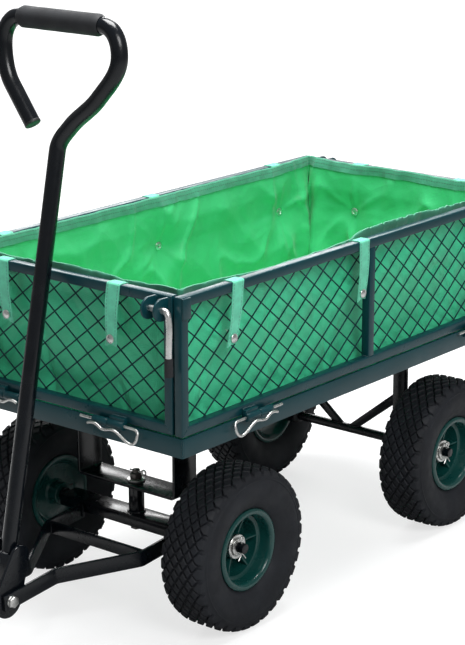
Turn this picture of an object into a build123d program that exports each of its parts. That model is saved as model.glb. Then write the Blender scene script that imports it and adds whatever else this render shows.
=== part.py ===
from build123d import *

import os
from math import atan2, cos, hypot, radians, sin, tan

os.makedirs("parts", exist_ok=True)

# Millimetres, +X towards the pull handle, +Y the cart's left, +Z up, floor at Z 0.
# Everything is drawn about the middle of the bed and moved by MIDDLE_X when it is written.
MIDDLE_X = 69.25
FIT = 0.15
PLAY = 0.3

# Bed
BED_LENGTH = 930.0
BED_WIDTH = 484.0
TRAY_TOP = 356.0
TRAY_RIM = 30.0
TRAY_BOTTOM = TRAY_TOP - TRAY_RIM
TRAY_WALL = 3.0
TRAY_FLANGE = 25.0
DECK_THICK = 3.0
DECK_UNDER = TRAY_BOTTOM + TRAY_WALL
DECK_TOP = DECK_UNDER + DECK_THICK
DECK_PLAY = 0.5
BEARER_WIDE = 60.0
BEARER_THICK = 6.0
BEARER_UNDER = DECK_UNDER - BEARER_THICK

# Running gear
AXLE_Z = 130.0
AXLE_D = 16.0
AXLE_END = 222.0
COLLAR_Y = 154.5
COLLAR_LONG = 5.0
COLLAR_D = 24.0
PIN_Y = AXLE_END - 7.0
PIN_HOLE_D = 3.2
COTTER_D = 3.0
COTTER_EYE_R = 4.0
COTTER_UP = 12.0
COTTER_DOWN = 15.0
WASHER_THICK = 2.5
WASHER_D = 28.0
FRONT_X = 295.0
REAR_X = -272.0
WHEEL_Y = 197.0
TYRE_R = 130.0
TYRE_WIDE = 85.0
RIM_R = 63.0
RIM_WIDE = 60.0
HUB_OUT = 9.0
HUB_IN = 37.0
HUB_R = 19.0

# Wheels
BEAD_R = 52.0
BEAD_INSIDE = 17.0
SHOULDER = (RIM_R + 1.5, RIM_WIDE / 2 - 3.5)
BEAD_FACE = SHOULDER[1]
TREAD_HALF = 30.0
TREAD_EDGE = (126.0, 35.0)
SIDEWALL = ((80.0, 37.0), (97.0, TYRE_WIDE / 2), (115.0, 40.5))
SIDEWALL_WAYS = ((1.0, 1.6), (1.0, -1.0))
LINING_FOOT = (64.0, 18.0)
LINING = ((80.0, 29.0), (96.0, 33.5))
LINING_TOP = (116.0, 28.0)
LINING_WAYS = ((1.0, 0.8), (1.0, -0.8))
RIM_WALL = 3.0
BARREL_R = BEAD_R - RIM_WALL
WEB_MIDDLE = (HUB_R + BARREL_R) / 2
WEB_LONG = BARREL_R - HUB_R + 2.0
WEB_AT = -8.0
RIB_THICK = 5.0
RIB_FROM = -8.0
RIB_DEEP = 15.0
BORE = AXLE_D + FIT
VALVE_Y = -13.2
VALVE_HOLE_D = 8.0
VALVE_D = 7.0
VALVE_FROM = 30.0
VALVE_LONG = 41.0
INNER_TUBE_R = 89.0
INNER_TUBE_D = 49.0
INNER_TUBE_WALL = 2.0

# Rear legs and braces
LEG_INSIDE = 102.0
LEG_WIDE = 25.0
LEG_DEEP = 12.0
LEG_BLOCK = 24.0
LEGS = ((REAR_X, LEG_INSIDE + LEG_WIDE / 2), (REAR_X, -LEG_INSIDE - LEG_WIDE / 2))
BRACE_THICK = 8.0
BRACE_TOP = 214.0
BRACE_DEEP = 20.0
BRACE_FOOT = (2.0, 24.0)

# Front support and steering
STRAP_WIDE = 53.0
STRAP_THICK = 5.0
STRAP_HALF = 102.5
STRAP_FOOT = 30.0
FOOT_Y = STRAP_HALF + STRAP_FOOT / 2
FEET = ((FRONT_X, FOOT_Y), (FRONT_X, -FOOT_Y))
FOOT_BOLT_D = 8.0
FOOT_BOLT_FLATS = 13.0
FOOT_BOLT_HEAD = 5.5
CROSSBAR_UNDER = 186.5
CROSSBAR_TOP = CROSSBAR_UNDER + STRAP_THICK
KINGPIN_D = 12.0
KINGPIN_FLATS = 18.0
KINGPIN_HEAD = 8.0
KINGPIN_WASHER_D = 30.0
KINGPIN_NUT_HIGH = 10.0
NUT_CHAMFER = 1.0
KINGPIN_NUT_UNDER = CROSSBAR_TOP + WASHER_THICK
KINGPIN_PIN_Z = KINGPIN_NUT_UNDER + 12.5
KINGPIN_TOP = KINGPIN_NUT_UNDER + 15.7
KINGPIN_EYE_Y = 16.0
SLEEVE_D = 25.0
BEAM_DEEP = 40.0
BEAM_HIGH = 20.0
BEAM_HALF = 150.0
BEAM_UNDER = AXLE_Z - 11.0
BEAM_TOP = BEAM_UNDER + BEAM_HIGH
BEAM_FACE = FRONT_X + BEAM_DEEP / 2
ARM_THICK = 6.0
ARM_HIGH = 25.0
ARM_TILT = 5.0
ARM_INSIDE_WIDE = 97.0
ARM_INSIDE_NARROW = 25.0
ARM_UNDER = 110.0
ARM_ROOT = 10.0
ARM_NOSE_FLAT = 0.5
ARM_STRAIGHT = 80.0
ARM_CRANKED = 195.0
ARM_MITRE = ARM_THICK * tan(atan2(ARM_INSIDE_WIDE - ARM_INSIDE_NARROW, ARM_CRANKED - ARM_STRAIGHT) / 2)
ARM_BRACE_AT = 73.0
ARM_BRACE_THICK = 6.0
ARM_BRACE_HIGH = 20.0
PULL_D = 10.0
PULL_FLATS = 16.0
PULL_HEAD = 6.5
PULL_NUT = 8.0
PULL_TAIL = 12.0
PIVOT_X = 608.0
PIVOT_Z = ARM_UNDER + ARM_HIGH / 2 - (PIVOT_X - BEAM_FACE) * tan(radians(ARM_TILT))

# Handle
TUBE_D = 25.0
TUBE_WALL = 2.0
HANDLE_LEAN = 11.9
HANDLE_FOOT = (590.4, 0.0, 114.0)
HANDLE_BEND_Z = 745.0
LOOP_TOP = 933.0
LOOP_X = 443.0
GRIP_HALF = 80.0
GRIP_D = 32.5
GRIP_ROUNDING = 2.5
LOOP_LEFT = ((452, 22, 782), (449, 75, 828), (446, 114, 890))
LOOP_RIGHT = ((446, -114, 890), (449, -96, 832))
LOOP_RIGHT_WAY = (1.3, 38, -50)
LOOP_END = (450.4, -56, 779.4)
CAP_HEAD = 3.0
CAP_PLUG = 10.0
CAP_PLAY = 0.1
CHEEK = 5.0
CHEEK_R = 28.0
CHEEK_TOP_R = 19.0
CHEEK_TOP = (HANDLE_FOOT[0] - 9.0, HANDLE_FOOT[2] + 42.0)
CROSS_PLATE_FROM = 6.0
CROSS_PLATE_HIGH = 40.0

# Panels
TUBE = 15.0
TUBE_ROUNDING = 1.5
PANEL_BOTTOM = TRAY_TOP + 2.0
PANEL_TOP = 566.0
PANEL_HIGH = PANEL_TOP - PANEL_BOTTOM
SIDE_SPAN = BED_LENGTH
END_PLAY = 4.5
END_SPAN = BED_WIDTH - 2 * TUBE - 2 * END_PLAY
SIDE_HINGE = 300.0
END_HINGE = 107.0
KNUCKLE_D = 13.0
KNUCKLE_LONG = 29.5
KNUCKLE_GAP = 0.5
HINGE_OUT = 8.0
CLIP_D = 4.5
WEB_HIGH = 12.0
WEB_PLAY = 1.0
CLIP_LEG_START = (-57, 0, 0)
CLIP_LEG_END = (46, 0, 0)
CLIP_LOOP = ((59, 3, -4), (51, 8, -21), (16, 10, -6), (-3, 10, -8), (-21, 9.6, -2), (-34, 9.6, -4))
DIAMOND_WIDE = 44.0
DIAMOND_HIGH = 35.5
WIRE = 3.0
MESH_MARGIN = 7.0
MESH_EDGE = 6.0
OPEN_SHARE = 1 - WIRE * hypot(1 / DIAMOND_WIDE, 1 / DIAMOND_HIGH)
KEEPER_WIDE = 18.0
KEEPER_THICK = 3.0
KEEPER_HIGH = 31.0
KEEPER_DOWN = 16.5

# Corner latches
LATCH_OUT = 16.0
LATCH_Z = 548.0
LATCH_ROD = 9.5
EAR_R = 16.5
EAR_THICK = 4.0
EARS = (194.0, 217.0)
LEVER_U = 231.0
LEVER_FOOT = 456.0
LEVER_BEND = 8.0
LATCH_TAIL = 8.0
LATCH_PLAY = 0.1
LEVER_GRIP_D = 13.0
LEVER_GRIP_LONG = 28.0
LEVER_GRIP_DOWN = 4.0
LEVER_GRIP_ROUNDING = 2.0

# Tub, straps and snaps
TUB_GAP = 1.5
TUB_WALL = 2.0
TUB_HALF_LONG = BED_LENGTH / 2 - TUBE - WIRE - TUB_GAP
TUB_HALF_WIDE = BED_WIDTH / 2 - TUBE - WIRE - TUB_GAP
TUB_TOP = 576.0
TUB_CORNER = 28.0
TUB_FOOT_ROUNDING = 10.0
TUB_LIFT = 0.5
WEBBING = 25.0
WEBBING_THICK = 1.5
STRAP_DROP = 96.0
STRAP_IN = TUBE + WIRE + 1.2
SNAP_D = 14.0
SNAP_THICK = 3.0
SNAP_UP = 11.0


def write(piece, name, where=Location()):
    """Label a finished piece, centre the cart's length on X 0 and write its STEP file."""
    placed = piece.part.moved(Location((-MIDDLE_X, 0, 0)) * where)
    placed.label = name
    export_step(placed, f"parts/{name}.step")


def mesh_sheet(wide, high, plane):
    """A flat diamond mesh clipped to a rectangle and welded along its edges."""
    half_wide = DIAMOND_WIDE * OPEN_SHARE / 2
    half_high = DIAMOND_HIGH * OPEN_SHARE / 2
    across = 2 * int(wide / DIAMOND_WIDE / 2) + 3
    up = 2 * int(high / DIAMOND_HIGH / 2) + 3
    with BuildPart() as sheet:
        with BuildSketch(plane):
            Rectangle(wide, high)
            for shift_x, shift_y in ((0, 0), (DIAMOND_WIDE / 2, DIAMOND_HIGH / 2)):
                with Locations((shift_x, shift_y)):
                    with GridLocations(DIAMOND_WIDE, DIAMOND_HIGH, across, up):
                        Polygon(
                            (half_wide, 0),
                            (0, half_high),
                            (-half_wide, 0),
                            (0, -half_high),
                            mode=Mode.SUBTRACT,
                        )
        extrude(amount=WIRE)
    return sheet


# --- Bed ---------------------------------------------------------------------------------------

with BuildPart() as tray_frame:
    with BuildSketch(Plane.XY.offset(TRAY_BOTTOM)):
        Rectangle(BED_LENGTH, BED_WIDTH)
        Rectangle(BED_LENGTH - 2 * TRAY_FLANGE, BED_WIDTH - 2 * TRAY_FLANGE, mode=Mode.SUBTRACT)
    extrude(amount=TRAY_WALL)
    with BuildSketch(Plane.XY.offset(TRAY_BOTTOM)):
        Rectangle(BED_LENGTH, BED_WIDTH)
        Rectangle(BED_LENGTH - 2 * TRAY_WALL, BED_WIDTH - 2 * TRAY_WALL, mode=Mode.SUBTRACT)
    extrude(amount=TRAY_RIM)
write(tray_frame, "tray_frame")

deck_mesh = mesh_sheet(
    BED_LENGTH - 2 * (TRAY_WALL + DECK_PLAY),
    BED_WIDTH - 2 * (TRAY_WALL + DECK_PLAY),
    Plane.XY.offset(DECK_UNDER),
)
write(deck_mesh, "deck_mesh")

with BuildPart() as deck_bearers:
    with BuildSketch(Plane.XY.offset(BEARER_UNDER)):
        with Locations((FRONT_X, 0), ((FRONT_X + REAR_X) / 2, 0), (REAR_X, 0)):
            Rectangle(BEARER_WIDE, BED_WIDTH - 2 * TRAY_FLANGE)
        with Locations(*FEET):
            Circle(FOOT_BOLT_D / 2, mode=Mode.SUBTRACT)
    extrude(amount=BEARER_THICK)
write(deck_bearers, "deck_bearers")

with BuildPart() as front_support:
    with BuildSketch(Plane.YZ.offset(FRONT_X - STRAP_WIDE / 2)):
        with Locations((0, (CROSSBAR_UNDER + BEARER_UNDER) / 2)):
            Rectangle(2 * STRAP_HALF, BEARER_UNDER - CROSSBAR_UNDER)
        with Locations((0, BEARER_UNDER - STRAP_THICK / 2)):
            Rectangle(2 * (STRAP_HALF + STRAP_FOOT), STRAP_THICK)
        with Locations((0, (CROSSBAR_TOP + BEARER_UNDER) / 2)):
            Rectangle(
                2 * (STRAP_HALF - STRAP_THICK), BEARER_UNDER - CROSSBAR_TOP, mode=Mode.SUBTRACT
            )
    extrude(amount=STRAP_WIDE)
    with BuildSketch(Plane.XY.offset(CROSSBAR_UNDER)):
        with Locations((FRONT_X, 0)):
            Circle(KINGPIN_D / 2)
    extrude(amount=STRAP_THICK, mode=Mode.SUBTRACT)
    with BuildSketch(Plane.XY.offset(BEARER_UNDER - STRAP_THICK)):
        with Locations(*FEET):
            Circle(FOOT_BOLT_D / 2)
    extrude(amount=STRAP_THICK, mode=Mode.SUBTRACT)
write(front_support, "front_support")

with BuildPart() as support_bolts:
    with BuildSketch(Plane.XY.offset(BEARER_UNDER - STRAP_THICK - FOOT_BOLT_HEAD)):
        with Locations(*FEET):
            RegularPolygon(FOOT_BOLT_FLATS / 2, 6, major_radius=False)
    extrude(amount=FOOT_BOLT_HEAD)
    with BuildSketch(Plane.XY.offset(BEARER_UNDER - STRAP_THICK)):
        with Locations(*FEET):
            Circle(FOOT_BOLT_D / 2)
    extrude(amount=STRAP_THICK + BEARER_THICK)
write(support_bolts, "support_bolts")

with BuildPart() as kingpin_bolt:
    with BuildSketch(Plane.XY.offset(BEAM_UNDER - PLAY - KINGPIN_HEAD)):
        with Locations((FRONT_X, 0)):
            RegularPolygon(KINGPIN_FLATS / 2, 6, major_radius=False)
    extrude(amount=KINGPIN_HEAD)
    with BuildSketch(Plane.XY.offset(BEAM_UNDER - PLAY)):
        with Locations((FRONT_X, 0)):
            Circle(KINGPIN_D / 2)
    extrude(amount=KINGPIN_TOP - BEAM_UNDER + PLAY)
    with BuildSketch(Plane.XZ):
        with Locations((FRONT_X, KINGPIN_PIN_Z)):
            Circle(PIN_HOLE_D / 2)
    extrude(amount=KINGPIN_D, both=True, mode=Mode.SUBTRACT)
write(kingpin_bolt, "kingpin_bolt")

with BuildPart() as kingpin_washer:
    with BuildSketch(Plane.XY.offset(CROSSBAR_TOP)):
        with Locations((FRONT_X, 0)):
            Circle(KINGPIN_WASHER_D / 2)
            Circle(KINGPIN_D / 2, mode=Mode.SUBTRACT)
    extrude(amount=WASHER_THICK)
write(kingpin_washer, "kingpin_washer")

with BuildPart() as kingpin_nut:
    with BuildSketch(Plane.XY.offset(KINGPIN_NUT_UNDER)):
        with Locations((FRONT_X, 0)):
            RegularPolygon(KINGPIN_FLATS / 2, 6, major_radius=False)
            Circle(KINGPIN_D / 2, mode=Mode.SUBTRACT)
    extrude(amount=KINGPIN_NUT_HIGH)
    chamfer(
        kingpin_nut.edges().filter_by(Plane.XY).filter_by(GeomType.LINE).group_by(Axis.Z)[-1],
        NUT_CHAMFER,
    )
write(kingpin_nut, "kingpin_nut")

with BuildPart() as kingpin_cotter:
    with BuildSketch(Plane.XZ):
        with Locations((FRONT_X, KINGPIN_PIN_Z)):
            Circle(COTTER_D / 2)
    extrude(amount=COTTER_UP, both=True)
    with Locations(Location((FRONT_X, KINGPIN_EYE_Y, KINGPIN_PIN_Z), (0, 90, 0))):
        Torus(COTTER_EYE_R, COTTER_D / 2)
write(kingpin_cotter, "kingpin_cotter")

with BuildPart() as rear_legs:
    with BuildSketch(Plane.XY.offset(AXLE_Z - LEG_BLOCK / 2)):
        with Locations(*LEGS):
            Rectangle(LEG_BLOCK, LEG_WIDE)
    extrude(amount=LEG_BLOCK)
    with BuildSketch(Plane.XY.offset(AXLE_Z)):
        with Locations(*LEGS):
            Rectangle(LEG_DEEP, LEG_WIDE)
    extrude(amount=BEARER_UNDER - AXLE_Z)
    with BuildSketch(Plane.XZ):
        with Locations((REAR_X, AXLE_Z)):
            Circle(AXLE_D / 2)
    extrude(amount=BED_WIDTH / 2, both=True, mode=Mode.SUBTRACT)
write(rear_legs, "rear_legs")

with BuildPart() as rear_axle:
    with BuildSketch(Plane.XZ):
        with Locations((REAR_X, AXLE_Z)):
            Circle(AXLE_D / 2)
    extrude(amount=AXLE_END, both=True)
    for side in (1, -1):
        with BuildSketch(Plane.XZ.offset(-side * COLLAR_Y)):
            with Locations((REAR_X, AXLE_Z)):
                Circle(COLLAR_D / 2)
        extrude(amount=-side * COLLAR_LONG)
    with BuildSketch(Plane.XY.offset(AXLE_Z)):
        with Locations((REAR_X, PIN_Y), (REAR_X, -PIN_Y)):
            Circle(PIN_HOLE_D / 2)
    extrude(amount=AXLE_D, both=True, mode=Mode.SUBTRACT)
write(rear_axle, "rear_axle")

with BuildPart() as rear_braces:
    for side in (1, -1):
        with BuildSketch(Plane.YZ.offset(REAR_X - BRACE_THICK / 2)):
            Polygon(
                (side * BRACE_FOOT[0], AXLE_Z),
                (side * BRACE_FOOT[1], AXLE_Z),
                (side * LEG_INSIDE, BRACE_TOP - BRACE_DEEP),
                (side * LEG_INSIDE, BRACE_TOP),
                align=None,
            )
        extrude(amount=BRACE_THICK)
    with BuildSketch(Plane.XZ):
        with Locations((REAR_X, AXLE_Z)):
            Circle(AXLE_D / 2)
    extrude(amount=BED_WIDTH / 2, both=True, mode=Mode.SUBTRACT)
write(rear_braces, "rear_braces")


def axle_washers(axle_x):
    """The two thrust washers outside the hubs of one axle."""
    with BuildPart() as washers:
        for side in (1, -1):
            with BuildSketch(Plane.XZ.offset(-side * (WHEEL_Y + HUB_OUT + PLAY))):
                with Locations((axle_x, AXLE_Z)):
                    Circle(WASHER_D / 2)
                    Circle(AXLE_D / 2, mode=Mode.SUBTRACT)
            extrude(amount=-side * WASHER_THICK)
    return washers


def axle_cotters(axle_x):
    """The two cotter pins through the ends of one axle."""
    with BuildPart() as cotters:
        for side in (1, -1):
            with BuildSketch(Plane.XY.offset(AXLE_Z - COTTER_DOWN)):
                with Locations((axle_x, side * PIN_Y)):
                    Circle(COTTER_D / 2)
            extrude(amount=COTTER_DOWN + COTTER_UP)
            eye_z = AXLE_Z + COTTER_UP + COTTER_D
            with Locations(Location((axle_x, side * PIN_Y, eye_z), (0, 90, 0))):
                Torus(COTTER_EYE_R, COTTER_D / 2)
    return cotters


write(axle_washers(REAR_X), "rear_axle_washers")
write(axle_cotters(REAR_X), "rear_axle_cotters")

# --- Steering ------------------------------------------------------------------------------------

with BuildPart() as steering_beam:
    with Locations((FRONT_X, 0, BEAM_UNDER + BEAM_HIGH / 2)):
        Box(BEAM_DEEP, 2 * BEAM_HALF, BEAM_HIGH)
    with BuildSketch(Plane.XZ):
        with Locations((FRONT_X, AXLE_Z)):
            Circle(AXLE_D / 2)
    extrude(amount=AXLE_END, both=True)
    for side in (1, -1):
        with BuildSketch(Plane.XZ.offset(-side * COLLAR_Y)):
            with Locations((FRONT_X, AXLE_Z)):
                Circle(COLLAR_D / 2)
        extrude(amount=-side * COLLAR_LONG)
    with BuildSketch(Plane.XY.offset(AXLE_Z)):
        with Locations((FRONT_X, 0)):
            Circle((KINGPIN_D + FIT) / 2)
        with Locations((FRONT_X, PIN_Y), (FRONT_X, -PIN_Y)):
            Circle(PIN_HOLE_D / 2)
    extrude(amount=BEAM_HIGH, both=True, mode=Mode.SUBTRACT)
write(steering_beam, "steering_beam")

with BuildPart() as kingpin_sleeve:
    with BuildSketch(Plane.XY.offset(BEAM_TOP)):
        with Locations((FRONT_X, 0)):
            Circle(SLEEVE_D / 2)
            Circle((KINGPIN_D + FIT) / 2, mode=Mode.SUBTRACT)
    extrude(amount=CROSSBAR_UNDER - BEAM_TOP - PLAY)
write(kingpin_sleeve, "kingpin_sleeve")

ARM_END = (PIVOT_X - BEAM_FACE) / cos(radians(ARM_TILT)) + ARM_HIGH / 2
TILTED = Plane(
    origin=(BEAM_FACE, 0, ARM_UNDER),
    x_dir=(cos(radians(ARM_TILT)), 0, -sin(radians(ARM_TILT))),
    z_dir=(sin(radians(ARM_TILT)), 0, cos(radians(ARM_TILT))),
)


def yoke_arm(side):
    """One cranked flat bar from the steering beam to the pull pivot."""
    with BuildPart() as arm:
        with BuildSketch(TILTED):
            with BuildLine():
                Polyline(
                    (-ARM_ROOT, side * ARM_INSIDE_WIDE),
                    (ARM_STRAIGHT, side * ARM_INSIDE_WIDE),
                    (ARM_CRANKED, side * ARM_INSIDE_NARROW),
                    (ARM_END, side * ARM_INSIDE_NARROW),
                    (ARM_END, side * (ARM_INSIDE_NARROW + ARM_THICK)),
                    (ARM_CRANKED + ARM_MITRE, side * (ARM_INSIDE_NARROW + ARM_THICK)),
                    (ARM_STRAIGHT + ARM_MITRE, side * (ARM_INSIDE_WIDE + ARM_THICK)),
                    (-ARM_ROOT, side * (ARM_INSIDE_WIDE + ARM_THICK)),
                    close=True,
                )
            make_face()
        extrude(amount=ARM_HIGH)
        fillet(arm.edges().filter_by(Axis.Y).group_by(Axis.X)[-2:], ARM_HIGH / 2 - ARM_NOSE_FLAT)
        with BuildSketch(Plane.XZ):
            with Locations((PIVOT_X, PIVOT_Z)):
                Circle(PULL_D / 2)
        extrude(amount=BED_WIDTH / 2, both=True, mode=Mode.SUBTRACT)
        with Locations((BEAM_FACE - BEAM_DEEP / 2, 0, AXLE_Z)):
            Box(BEAM_DEEP, BED_WIDTH, AXLE_Z, mode=Mode.SUBTRACT)
    return arm


write(yoke_arm(1), "yoke_arm_left")
write(yoke_arm(-1), "yoke_arm_right")

with BuildPart() as yoke_brace:
    with BuildSketch(TILTED.offset((ARM_HIGH - ARM_BRACE_HIGH) / 2)):
        with Locations((ARM_BRACE_AT, 0)):
            Rectangle(ARM_BRACE_THICK, 2 * ARM_INSIDE_WIDE)
    extrude(amount=ARM_BRACE_HIGH)
write(yoke_brace, "yoke_brace")

write(axle_washers(FRONT_X), "front_axle_washers")
write(axle_cotters(FRONT_X), "front_axle_cotters")

ARM_OUTSIDE = ARM_INSIDE_NARROW + ARM_THICK

with BuildPart() as pull_bolt:
    with BuildSketch(Plane.XZ.offset(-ARM_OUTSIDE)):
        with Locations((PIVOT_X, PIVOT_Z)):
            RegularPolygon(PULL_FLATS / 2, 6, major_radius=False)
    extrude(amount=-PULL_HEAD)
    with BuildSketch(Plane.XZ.offset(-ARM_OUTSIDE)):
        with Locations((PIVOT_X, PIVOT_Z)):
            Circle(PULL_D / 2)
    extrude(amount=2 * ARM_OUTSIDE + PULL_TAIL)
write(pull_bolt, "pull_bolt")

with BuildPart() as pull_nut:
    with BuildSketch(Plane.XZ.offset(ARM_OUTSIDE)):
        with Locations((PIVOT_X, PIVOT_Z)):
            RegularPolygon(PULL_FLATS / 2, 6, major_radius=False)
            Circle(PULL_D / 2, mode=Mode.SUBTRACT)
    extrude(amount=PULL_NUT)
write(pull_nut, "pull_nut")

# --- Pull handle ---------------------------------------------------------------------------------

LEAN = radians(HANDLE_LEAN)
UPRIGHT = Plane(origin=HANDLE_FOOT, x_dir=(0, 1, 0), z_dir=(-sin(LEAN), 0, cos(LEAN)))
BEND = Vector(HANDLE_FOOT) + Vector(-tan(LEAN), 0, 1) * (HANDLE_BEND_Z - HANDLE_FOOT[2])
CHEEK_OUT = ARM_INSIDE_NARROW - PLAY
GRIP_LEFT = (LOOP_X, GRIP_HALF, LOOP_TOP)
GRIP_RIGHT = (LOOP_X, -GRIP_HALF, LOOP_TOP)
TOWARDS_RIGHT = (0, -1, 0)

with BuildPart() as handle_tube:
    with BuildLine() as bent:
        Line(HANDLE_FOOT, BEND)
        Spline(BEND, *LOOP_LEFT, GRIP_LEFT, tangents=(BEND - Vector(HANDLE_FOOT), TOWARDS_RIGHT))
        Line(GRIP_LEFT, GRIP_RIGHT)
        Spline(GRIP_RIGHT, *LOOP_RIGHT, tangents=(TOWARDS_RIGHT, LOOP_RIGHT_WAY))
        tail = Line(LOOP_RIGHT[-1], LOOP_END)
    with BuildSketch(UPRIGHT):
        Circle(TUBE_D / 2)
        Circle(TUBE_D / 2 - TUBE_WALL, mode=Mode.SUBTRACT)
    sweep(path=bent.wire())
write(handle_tube, "handle_tube")

with BuildPart() as handle_end_cap:
    with BuildSketch(Plane(origin=tail @ 1, z_dir=tail % 1).offset(CAP_PLAY)):
        Circle(TUBE_D / 2)
    extrude(amount=CAP_HEAD)
    with BuildSketch(Plane(origin=tail @ 1, z_dir=tail % 1).offset(CAP_PLAY)):
        Circle(TUBE_D / 2 - TUBE_WALL - 2 * CAP_PLAY)
    extrude(amount=-CAP_PLUG)
write(handle_end_cap, "handle_end_cap")

with BuildPart() as handle_grip:
    with BuildSketch(Plane(origin=GRIP_RIGHT, z_dir=(0, 1, 0))):
        Circle(GRIP_D / 2)
        Circle(TUBE_D / 2, mode=Mode.SUBTRACT)
    extrude(amount=2 * GRIP_HALF)
    fillet(handle_grip.edges().filter_by(GeomType.CIRCLE).sort_by(SortBy.RADIUS)[-2:], GRIP_ROUNDING)
write(handle_grip, "handle_grip")

with BuildPart() as handle_bracket:
    for side in (1, -1):
        with BuildSketch(Plane.XZ.offset(-side * CHEEK_OUT)):
            with Locations((PIVOT_X, PIVOT_Z)):
                Circle(CHEEK_R)
            with Locations(CHEEK_TOP):
                Circle(CHEEK_TOP_R)
            make_hull()
            with Locations((PIVOT_X, PIVOT_Z)):
                Circle((PULL_D + FIT) / 2, mode=Mode.SUBTRACT)
        extrude(amount=side * CHEEK)
    with BuildSketch(UPRIGHT.offset(CROSS_PLATE_FROM)):
        with Locations((0, (TUBE_D + CHEEK) / 2), (0, -(TUBE_D + CHEEK) / 2)):
            Rectangle(2 * CHEEK_OUT, CHEEK)
    extrude(amount=CROSS_PLATE_HIGH)
write(handle_bracket, "handle_bracket")

# --- Wheels --------------------------------------------------------------------------------------

with BuildPart() as tyre:
    with BuildSketch(Plane.XY):
        with BuildLine():
            Spline(SHOULDER, *SIDEWALL, TREAD_EDGE, tangents=SIDEWALL_WAYS)
            Polyline(TREAD_EDGE, (TYRE_R, TREAD_HALF), (TYRE_R, 0), (LINING_TOP[0], 0), LINING_TOP)
            Spline(LINING_FOOT, *LINING, LINING_TOP, tangents=LINING_WAYS)
            Polyline(LINING_FOOT, (BEAD_R, BEAD_INSIDE), (BEAD_R, BEAD_FACE), SHOULDER)
        make_face()
        mirror(about=Plane.XZ)
    revolve(axis=Axis.Y)

with BuildPart() as rim:
    with BuildSketch(Plane.XY):
        with Locations((BEAD_R - RIM_WALL / 2, 0)):
            Rectangle(RIM_WALL, RIM_WIDE)
        with Locations(
            ((BARREL_R + RIM_R) / 2, (RIM_WIDE + 2 * BEAD_FACE) / 4),
            ((BARREL_R + RIM_R) / 2, -(RIM_WIDE + 2 * BEAD_FACE) / 4),
        ):
            Rectangle(RIM_R - BARREL_R, RIM_WIDE / 2 - BEAD_FACE)
        with Locations((WEB_MIDDLE, WEB_AT)):
            Rectangle(WEB_LONG, RIM_WALL)
        with Locations(((BORE / 2 + HUB_R) / 2, (HUB_OUT - HUB_IN) / 2)):
            Rectangle(HUB_R - BORE / 2, HUB_OUT + HUB_IN)
    revolve(axis=Axis.Y)
    with BuildSketch(Plane.XZ.offset(-RIB_FROM)):
        with PolarLocations(WEB_MIDDLE, 6):
            Rectangle(WEB_LONG, RIB_THICK)
    extrude(amount=-RIB_DEEP)
    with BuildSketch(Plane.YZ.offset(BARREL_R - RIM_WALL)):
        with Locations((VALVE_Y, 0)):
            Circle(VALVE_HOLE_D / 2)
    extrude(amount=3 * RIM_WALL, mode=Mode.SUBTRACT)

with BuildPart() as inner_tube:
    with BuildSketch(Plane.XY):
        with Locations((INNER_TUBE_R, 0)):
            Circle(INNER_TUBE_D / 2)
            Circle(INNER_TUBE_D / 2 - INNER_TUBE_WALL, mode=Mode.SUBTRACT)
    revolve(axis=Axis.Y)
    with BuildSketch(Plane.YZ.offset(VALVE_FROM)):
        with Locations((VALVE_Y, 0)):
            Circle(VALVE_D / 2)
    extrude(amount=VALVE_LONG)

WHEELS = {
    "front_left": Location((FRONT_X, WHEEL_Y, AXLE_Z)),
    "front_right": Location((FRONT_X, -WHEEL_Y, AXLE_Z), (0, 0, 180)),
    "rear_left": Location((REAR_X, WHEEL_Y, AXLE_Z)),
    "rear_right": Location((REAR_X, -WHEEL_Y, AXLE_Z), (0, 0, 180)),
}
for corner, hub in WHEELS.items():
    write(tyre, f"tyre_{corner}", hub)
    write(rim, f"rim_{corner}", hub)
    write(inner_tube, f"inner_tube_{corner}", hub)

# --- Hinges --------------------------------------------------------------------------------------
# A panel is drawn with its outer face on Y 0, its length along X and Z as it stands on the cart.

LEFT = Location((0, BED_WIDTH / 2, 0))
RIGHT = Location((0, -BED_WIDTH / 2, 0), (0, 0, 180))
FRONT = Location((BED_LENGTH / 2, 0, 0), (0, 0, -90))
REAR = Location((-BED_LENGTH / 2, 0, 0), (0, 0, 90))
HINGES = ((LEFT, SIDE_HINGE), (RIGHT, SIDE_HINGE), (FRONT, END_HINGE), (REAR, END_HINGE))


def knuckles(hinge_u, which):
    """Knuckles of one leaf, each a bored tube on a short web: -1 for the tray, 1 for the panel."""
    middle = KNUCKLE_GAP + KNUCKLE_LONG / 2
    with BuildPart() as leaf:
        for side in (1, -1):
            start = side * (hinge_u + which * middle) - KNUCKLE_LONG / 2
            with BuildSketch(Plane.YZ.offset(start)):
                with Locations((HINGE_OUT, TRAY_TOP)):
                    Circle(KNUCKLE_D / 2)
                with Locations((HINGE_OUT / 2, TRAY_TOP + which * (WEB_HIGH / 2 + WEB_PLAY))):
                    Rectangle(HINGE_OUT, WEB_HIGH - 2 * WEB_PLAY)
                with Locations((HINGE_OUT, TRAY_TOP)):
                    Circle((CLIP_D + FIT) / 2, mode=Mode.SUBTRACT)
            extrude(amount=KNUCKLE_LONG)
    return leaf


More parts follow.
